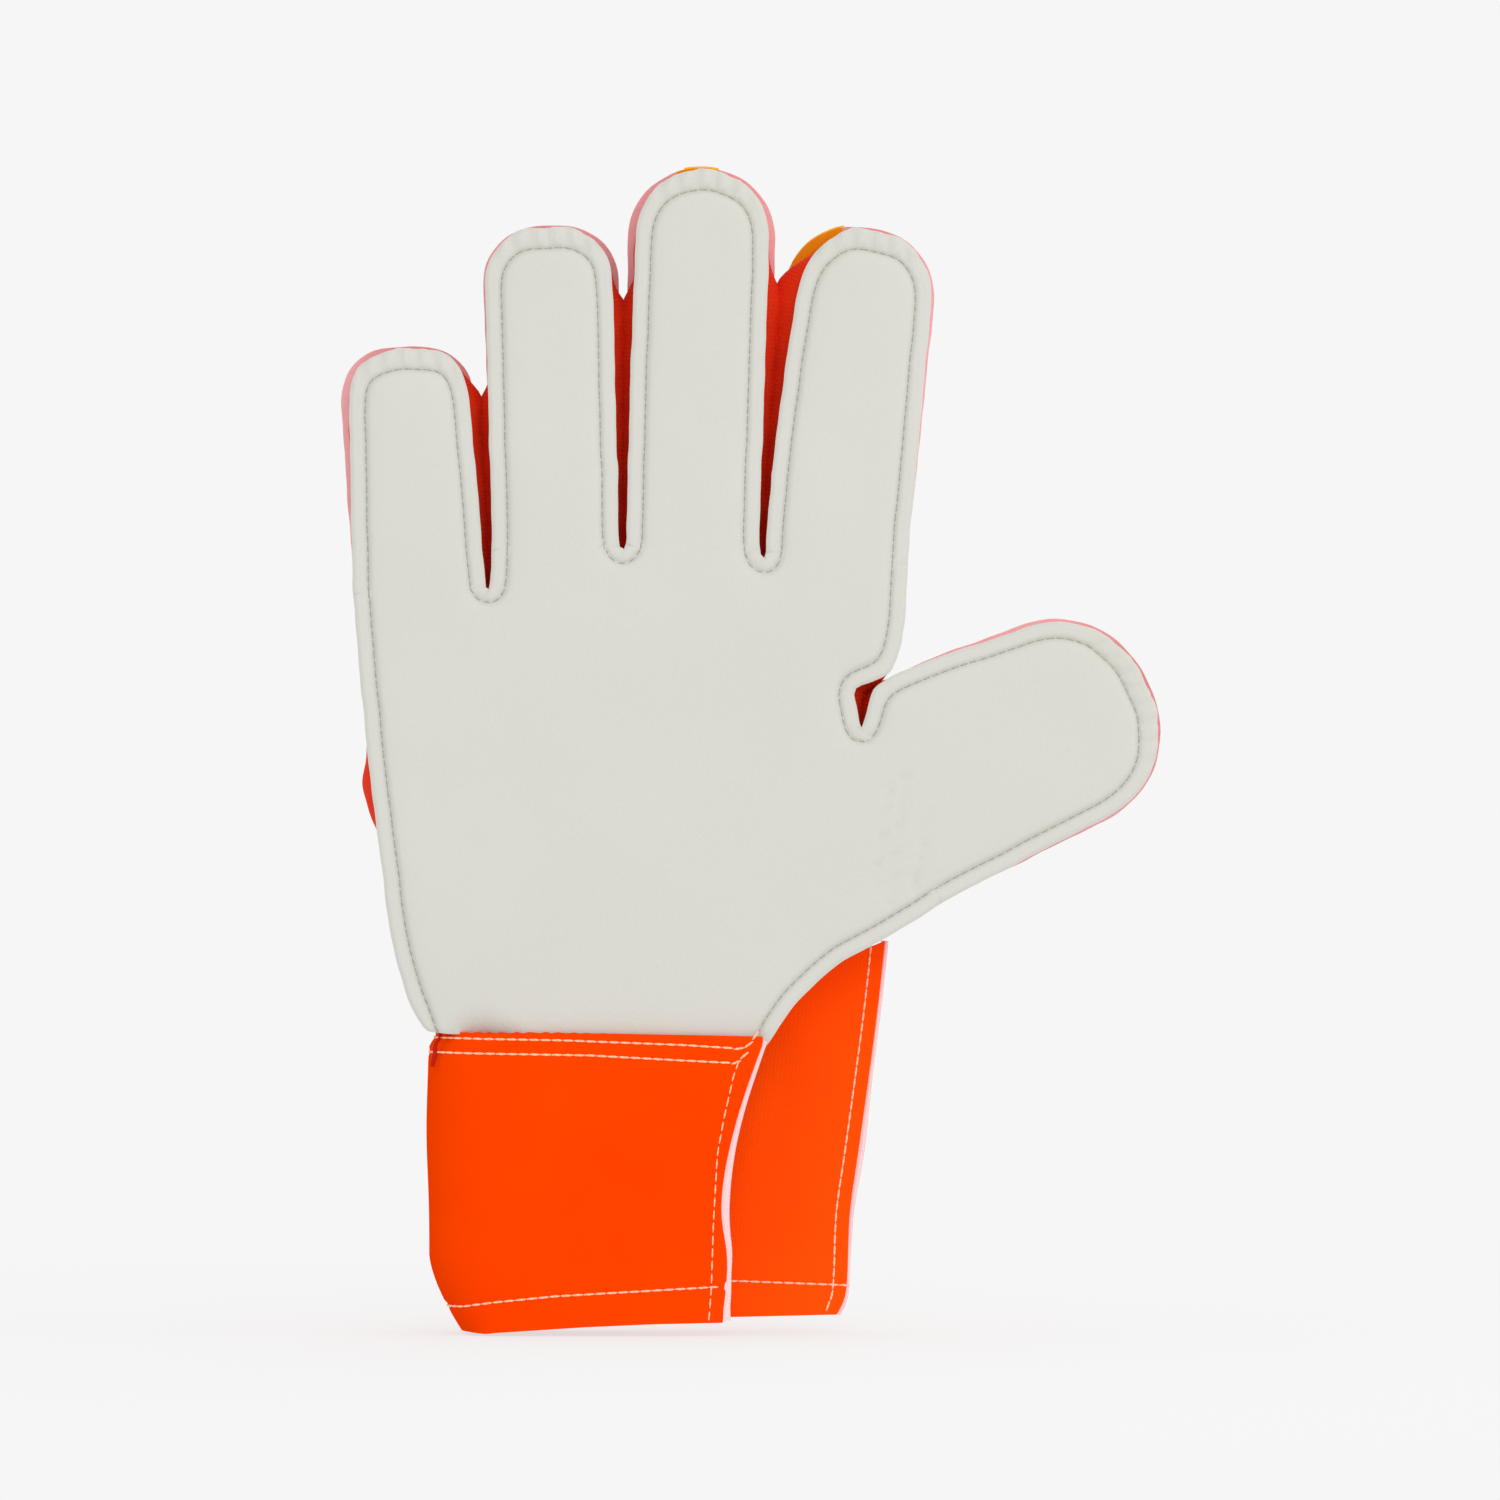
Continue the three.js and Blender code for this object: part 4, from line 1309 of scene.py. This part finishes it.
back_flat = cuff_back_flat()
back_lift = back_relief(back_flat.reshape(-1, 2)).reshape(back_flat.shape[:2])
cuff_back, back_size = sheet_from(
    "cuff_back", on_back(back_flat, CUFF_OUT)[:, ::-1], CUFF, CUFF_ORANGE, lift=0.4 * back_lift[:, ::-1]
)
attach(cuff_back, "cuff_fabric", "cuff_back_panel")

# The facing's orange is a brighter copy of the cuff's: painted light that makes up for the shade deep inside
# the cuff.
FACING_ORANGE_PAINTED_LIGHT = laminated_cloth("laminated_polyester_orange_facing", "FF520A", "FA4A06", thread=0.9)
cuff_facing, facing_size = sheet_from(
    "cuff_back_facing", on_back(back_flat, FACING_IN + 0.3), 0.8, FACING_ORANGE_PAINTED_LIGHT, lift=0.6 * back_lift
)
attach(cuff_facing, "lining", "cuff_back_lining")


def back_row(line, level, way):
    """A row of stitches on the back panel's outside (way 1) or on its facing (way -1)."""
    line = spaced(np.array(line, float), 1.1, closed=False)
    return on_back(line, level + way * (0.5 * back_relief(line) + 0.12))


rim_row = (BACK_RIM - np.array([RIM_ROW_INSET, 0]))[::-1][2:]
rim_row = rim_row[rim_row[:, 1] > ROW_FOOT]
hem_row = [p for p in HEM if TUBE_X < p[0] < 46] + [(HEM_END, 10.2)]
head_row = BACK_HEAD[:-1] - np.array([0, HEAD_ROW_INSET])
wrap_row = [(TUBE_X + 2.5, ROW_FOOT), (TUBE_X + 2.5, BACK_HEAD[0, 1] - HEAD_ROW_INSET)]
inner_rows = [back_row(line, FACING_IN + 0.3, -1) for line in (rim_row, [p for p in hem_row if p[0] > 10])]
whole_hem = [(TUBE_X + 1, 7.2), *hem_row]
outer_rows = [back_row(line, CUFF_OUT, 1) for line in (rim_row, whole_hem, head_row, wrap_row)]
inner_stitches = stitched("cuff_inner_stitches", inner_rows, (0, -1, 0), PEACH_THREAD, **CUFF_STITCH)
outer_stitches = stitched("cuff_outer_stitches", outer_rows, (0, 1, 0), PEACH_THREAD, **CUFF_STITCH)
for piece in (inner_stitches, outer_stitches):
    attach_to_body(piece, "hand")

# ---------------------------------------------------------------- bindings
# Pale pink knitted tape that shows along both open edges of the cuff, folded over them and caught by
# the topstitching. It is widest half way down, where the cloth has rolled back.
TAPE_THICK = 1.7
BINDING_PINK = jersey("knitted_tape_pale_pink", "F6D2D2", "EFBFC2", wale=0.7)


def edge_tape(name, line, width_at, level, node):
    """A rounded tape along an edge line from its foot up, standing out from it by width_at(z)."""
    run = np.gradient(line, axis=0)
    out = np.stack([run[:, 1], -run[:, 0]], axis=1) / np.linalg.norm(run, axis=1, keepdims=True)
    turns = np.linspace(0, 2 * math.pi, 15)
    width = width_at(line[:, 1])
    reach = 0.9
    grid = np.zeros((len(line), len(turns), 3))
    for k, turn in enumerate(turns):
        rim = math.copysign(abs(math.cos(turn)) ** 0.7, math.cos(turn))
        side = math.copysign(abs(math.sin(turn)) ** 0.7, math.sin(turn))
        flat = line + out * ((width - reach) / 2 + (width + reach) / 2 * rim)[:, None]
        grid[:, k] = on_back(flat, level + side * TAPE_THICK / 2)
    count = len(turns) - 1
    index = np.arange(len(line) * count).reshape(len(line), count)
    after = np.roll(index, -1, axis=1)
    quads = np.stack([index[:-1], index[1:], after[1:], after[:-1]], axis=2).reshape(-1, 4)
    v = np.concatenate([[0], np.cumsum(np.linalg.norm(np.diff(line, axis=0), axis=1))])
    uv = np.stack(np.meshgrid(np.arange(count) * 0.5, v), axis=2).reshape(-1, 2)
    piece = mesh_piece(name, grid[:, :count].reshape(-1, 3), [*quads, index[0], index[-1, ::-1]], uv)
    piece.data.set_sharp_from_angle(angle=math.radians(50))
    piece.data.materials.append(BINDING_PINK)
    attach(piece, "binding", node)


def slit_tape_width(z):
    return 1.15 + 0.75 * dip(z - 28, 13) - 0.4 * dip(z - 14, 4) + 0.5 * dip(z - 3, 2.5)


def back_tape_width(z):
    return 0.85 + 0.55 * dip(z - 42, 12) - 0.3 * dip(z - 14, 6)


slit_line = np.stack([slit_x(SLIT[:, 1]), SLIT[:, 1]], axis=1)
edge_tape("slit_binding", slit_line, slit_tape_width, -TUBE_RADIUS + TUBE_Y + 1.1, "slit_edge_binding")
edge_tape("back_edge_binding", BACK_RIM, back_tape_width, CUFF_OUT - 1.0, "cuff_edge_binding")

# ---------------------------------------------------------------- inside the cuff
# Behind the palm side of the cuff: its own orange facing, a band of ribbed elastic that draws the wrist
# in, and a folded satin care label on the back facing, left blank.
def drop_grid(node, columns, rows, level):
    """A flat grid over a CAD panel's box, seen from the palm side."""
    low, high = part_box(node)
    xs = np.linspace(low.x / MM, high.x / MM, columns)
    zs = np.linspace(low.z / MM, high.z / MM, rows)
    x, z = np.meshgrid(xs, zs)
    return np.stack([x, np.broadcast_to(level, x.shape), z], axis=2)


facing_rim = np.stack([slit_x(SLIT[:, 1]) - 1.6, SLIT[:, 1]], axis=1)
foot_x = np.linspace(TUBE_X, facing_rim[0, 0], 30)
facing_foot = np.stack([foot_x, along_line(foot_x, FOOT_LINE) + 1.2], axis=1)
facing_rim[0] = facing_foot[-1]
facing_head = np.array([(TUBE_X, CUFF_HEAD - 2), facing_rim[-1]])
facing_side = np.array([facing_foot[0], facing_head[0]])
inner_flat = stretched_grid(facing_foot, facing_head, facing_side, facing_rim, 40, 36)
inner_face = on_back(inner_flat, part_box("cuff_palm_lining")[0].y / MM)
# The palm side's facing takes the same brighter orange, painted light against the shade inside the cuff.
inner_facing, inner_size = sheet_from("cuff_palm_facing", inner_face, 0.8, FACING_ORANGE_PAINTED_LIGHT)
attach(inner_facing, "lining", "cuff_palm_lining")

RIB_PITCH = 1.6
ELASTIC_WHITE = jersey("ribbed_elastic_white", "F0EEE8", "D8D4CC", wale=0.9)
elastic_flat = drop_grid("wrist_elastic", 160, 14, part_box("wrist_elastic")[0].y / MM + 0.35)
ribs = 0.25 * np.abs(np.sin(elastic_flat[:, :, 0] * math.pi / RIB_PITCH))
elastic, elastic_size = sheet_from("wrist_elastic_band", elastic_flat, 0.7, ELASTIC_WHITE, lift=ribs)
attach(elastic, "elastic", "wrist_elastic")

LABEL_SATIN = jersey("satin_label_white", "F7F5F0", "E9E6DF", wale=0.35, relief=0.00006)
label_flat = drop_grid("care_label", 16, 28, 0)
roll = np.linspace(0, 1, 28)[:, None]
label_flat[:, :, 1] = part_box("care_label")[1].y / MM - 0.5 - 0.9 * (1 - roll) ** 2 + 0.12 * np.sin(roll * 9)
care_label, label_size = sheet_from("blank_care_label", label_flat, 0.25, LABEL_SATIN)
attach(care_label, "label", "care_label")


def slab_grid(low, high, columns, rows):
    """A grid over a box's outer face, columns from right to left, so that it faces the back."""
    xs = np.linspace(high[0], low[0], columns)
    zs = np.linspace(low[2], high[2], rows)
    x, z = np.meshgrid(xs, zs)
    return np.stack([x, np.full(x.shape, high[1]), z], axis=2)


def edge_round(grid, reach, amount):
    """How far a slab's outer face falls away towards its four edges."""
    x, z = grid[:, :, 0], grid[:, :, 2]
    near = np.minimum.reduce([x - x.min(), x.max() - x, z - z.min(), z.max() - z])
    return -amount * np.clip(1 - near / reach, 0, 1) ** 2


def corners_of(*nodes):
    """The box round some CAD nodes, in millimetres."""
    boxes = [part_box(node) for node in nodes]
    low = np.min([box[0] for box in boxes], axis=0) / MM
    high = np.max([box[1] for box in boxes], axis=0) / MM
    return low, high


def strap_blend(piece):
    """Bakes the placement of a strap piece into its mesh."""
    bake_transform(piece)


band_low, band_high = corners_of("strap_band")
band_grid = slab_grid(band_low, band_high, 96, 44)
band_rows = (band_low[2] + 3, band_high[2] - 3)
band_lift = edge_round(band_grid, 1.4, 0.6)
for row in band_rows:
    band_lift = band_lift - 0.3 * dip(band_grid[:, :, 2] - row, 0.8)
band_lift = band_lift + 0.12 * np.sin(band_grid[:, :, 0] / 9) * np.sin(band_grid[:, :, 2] / 7)
strap_band, band_size = sheet_from(
    "strap_band_cloth", band_grid, band_high[1] - band_low[1] - 0.2, CUFF_ORANGE, lift=band_lift
)
strap_blend(strap_band)
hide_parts("strap_band")


def band_row(z, first, last):
    """One stitched row along the strap."""
    xs = np.arange(first, last, -1.1)
    return np.stack([xs, np.full(len(xs), band_high[1] - 0.18), np.full(len(xs), z)], axis=1)


band_runs = [band_row(z, band_high[0] - 1, band_low[0] + 1) for z in band_rows]
band_stitches = stitched("strap_stitches", band_runs, (0, 1, 0), PEACH_THREAD, **CUFF_STITCH)
strap_blend(band_stitches)

tab_low, tab_high = corners_of("strap_pull_tab")
TAB_RIB = 2.2  # pitch of the pressed ribs
tab_grid = slab_grid(tab_low, tab_high, 26, 150)
tab_ribs = 0.6 * np.sin((tab_grid[:, :, 2] - tab_low[2]) * math.pi / TAB_RIB) ** 2
tab_z = tab_grid[:, :, 2]
inside_tab = np.clip((np.minimum(tab_z - tab_low[2], tab_high[2] - tab_z) - 3) / 2, 0, 1)
TAB_LEATHER = grained_leather("pu_leather_orange", "E83A00", "D83400")
tab_lift = edge_round(tab_grid, 1.6, 0.8) + tab_ribs * inside_tab - 0.3
tab_thick = tab_high[1] - tab_low[1] - 0.2
pull_tab, _ = sheet_from("strap_tab_grip", tab_grid, tab_thick, TAB_LEATHER, lift=tab_lift)
attach(pull_tab, "amber_latex", "strap_pull_tab", body="strap")

anchor_low, anchor_high = corners_of("strap_anchor")
anchor_grid = slab_grid(anchor_low, anchor_high, 20, 60)
anchor, _ = sheet_from(
    "strap_sewn_end",
    anchor_grid,
    anchor_high[1] - anchor_low[1] - 0.2,
    CUFF_ORANGE,
    lift=edge_round(anchor_grid, 1.4, 0.8),
)
attach(anchor, "cuff_fabric", "strap_anchor")


def box_stitches():
    """The crossed box that holds the strap's end down."""
    left, right = anchor_low[0] + 1.8, anchor_high[0] - 1.8
    foot, head = anchor_low[2] + 2.5, anchor_high[2] - 2.5
    level = anchor_high[1] - 0.05
    box = [(left, foot), (left, head), (right, head), (right, foot), (left, foot)]
    cross = [[(left, foot), (right, head)], [(left, head), (right, foot)]]
    runs = []
    for corners in (box, *cross):
        line = spaced(np.array(corners), 1.1, closed=False)
        runs.append(np.stack([line[:, 0], np.full(len(line), level), line[:, 1]], axis=1))
    return runs


anchor_stitches = stitched("strap_end_stitches", box_stitches(), (0, 1, 0), PEACH_THREAD, **CUFF_STITCH)
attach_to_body(anchor_stitches, "hand")

# ---------------------------------------------------------------- hook and loop
# The closure: a pad of soft nylon loops sewn to the back of the cuff, and a pad of stiff nylon hooks
# under the strap's free end. Real hooks are finer; these are drawn coarse enough to show.
TAPE_BASE = 0.45


def pile_tree():
    """Geometry Nodes: a field of small standing arcs on a flat base, in rows or turned at random."""
    tree = bpy.data.node_groups.new("pile_field", "GeometryNodeTree")
    for name in ("Width", "Length", "Pitch", "Radius", "Thread", "Sweep", "Unruly"):
        tree.interface.new_socket(name, in_out="INPUT", socket_type="NodeSocketFloat")
    for name in ("Turn", "Place"):
        tree.interface.new_socket(name, in_out="INPUT", socket_type="NodeSocketVector")
    tree.interface.new_socket("Nylon", in_out="INPUT", socket_type="NodeSocketMaterial")
    tree.interface.new_socket("Pile", in_out="OUTPUT", socket_type="NodeSocketGeometry")
    given = tree.nodes.new("NodeGroupInput").outputs
    size = {}
    for axis, side in (("X", "Width"), ("Y", "Length")):
        count = add(tree, "ShaderNodeMath", {0: given[side], 1: given["Pitch"]}, operation="DIVIDE")
        size.update({f"Size {axis}": given[side], f"Vertices {axis}": count})
    field = add(tree, "GeometryNodeMeshGrid", size, "Mesh")
    bend = {"Resolution": 6, "Radius": given["Radius"], "Sweep Angle": given["Sweep"]}
    arc = add(tree, "GeometryNodeCurveArc", bend)
    standing = add(tree, "GeometryNodeTransform", {"Geometry": arc, "Rotation": (math.pi / 2, 0, 0)})
    round_thread = add(tree, "GeometryNodeCurvePrimitiveCircle", {"Resolution": 4, "Radius": given["Thread"]})
    sweep = {"Curve": standing, "Profile Curve": round_thread, "Fill Caps": True}
    loop = add(tree, "GeometryNodeCurveToMesh", sweep)
    most = add(tree, "ShaderNodeCombineXYZ", {2: given["Unruly"]})
    least_most = {0: (0, 0, 0), 1: most, "Seed": 7}
    turned = add(tree, "FunctionNodeRandomValue", least_most, data_type="FLOAT_VECTOR")
    stood = {"Points": field, "Instance": loop, "Rotation": turned}
    placed = add(tree, "GeometryNodeInstanceOnPoints", stood)
    laid = {"Geometry": placed, "Rotation": given["Turn"], "Translation": given["Place"]}
    moved = add(tree, "GeometryNodeTransform", laid)
    solid = add(tree, "GeometryNodeRealizeInstances", {"Geometry": moved})
    smooth = add(tree, "GeometryNodeSetShadeSmooth", {"Geometry": solid})
    coloured = add(tree, "GeometryNodeSetMaterial", {"Geometry": smooth, "Material": given["Nylon"]})
    add(tree, "NodeGroupOutput", {"Pile": coloured})
    return tree


PILE_TREE = pile_tree()


def pile(name, node, facing, pitch, radius, thread, sweep, unruly, nylon):
    """A field of nylon arcs over a tape node's box, standing towards +Y or -Y."""
    low, high = corners_of(node)
    middle = (low + high) / 2
    level = low[1] + TAPE_BASE if facing > 0 else high[1] - TAPE_BASE
    given = {
        "Width": (high[0] - low[0] - 2.5) * MM,
        "Length": (high[2] - low[2] - 2.5) * MM,
        "Pitch": pitch * MM,
        "Radius": radius * MM,
        "Thread": thread * MM,
        "Sweep": sweep,
        "Unruly": unruly,
        "Turn": (-facing * math.pi / 2, 0, 0),
        "Place": (middle[0] * MM, level * MM, middle[2] * MM),
        "Nylon": nylon,
    }
    return grown(name, bpy.data.meshes.new(name), PILE_TREE, given)


def tape(name, node, facing, cloth):
    """The woven base of a hook or loop tape."""
    low, high = corners_of(node)
    if facing > 0:
        top = np.array([high[0], low[1] + TAPE_BASE, high[2]])
        grid = slab_grid(low, top, 40, 30)
    else:
        grid = slab_grid(low, np.array([high[0], high[1] - TAPE_BASE, high[2]]), 40, 30)[:, ::-1]
    piece, size = sheet_from(name, grid, TAPE_BASE - 0.05, cloth)
    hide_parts(node)
    return piece


NYLON_LOOP = jersey("nylon_loop_orange", "FF5A14", "F04A08", wale=0.8)
NYLON_HOOK = spun_thread("moulded_nylon_hook_orange", "FF5A14", "F24C0A")
loop_tape = tape("loop_tape_base", "strap_loop_patch", 1, NYLON_LOOP)
loop_pile = pile("loop_tape_pile", "strap_loop_patch", 1, 1.25, 0.32, 0.07, math.pi, 6.28, NYLON_LOOP)
hook_tape = tape("hook_tape_base", "strap_hook_patch", -1, NYLON_LOOP)
hook_pile = pile("hook_tape_hooks", "strap_hook_patch", -1, 1.25, 0.24, 0.09, 1.3 * math.pi, 0.0, NYLON_HOOK)
for piece, body, slot in (
    (loop_tape, "hand", "loop_tape"),
    (loop_pile, "hand", "loop_tape"),
    (hook_tape, "strap", "hook_tape"),
    (hook_pile, "strap", "hook_tape"),
):
    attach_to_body(piece, body)
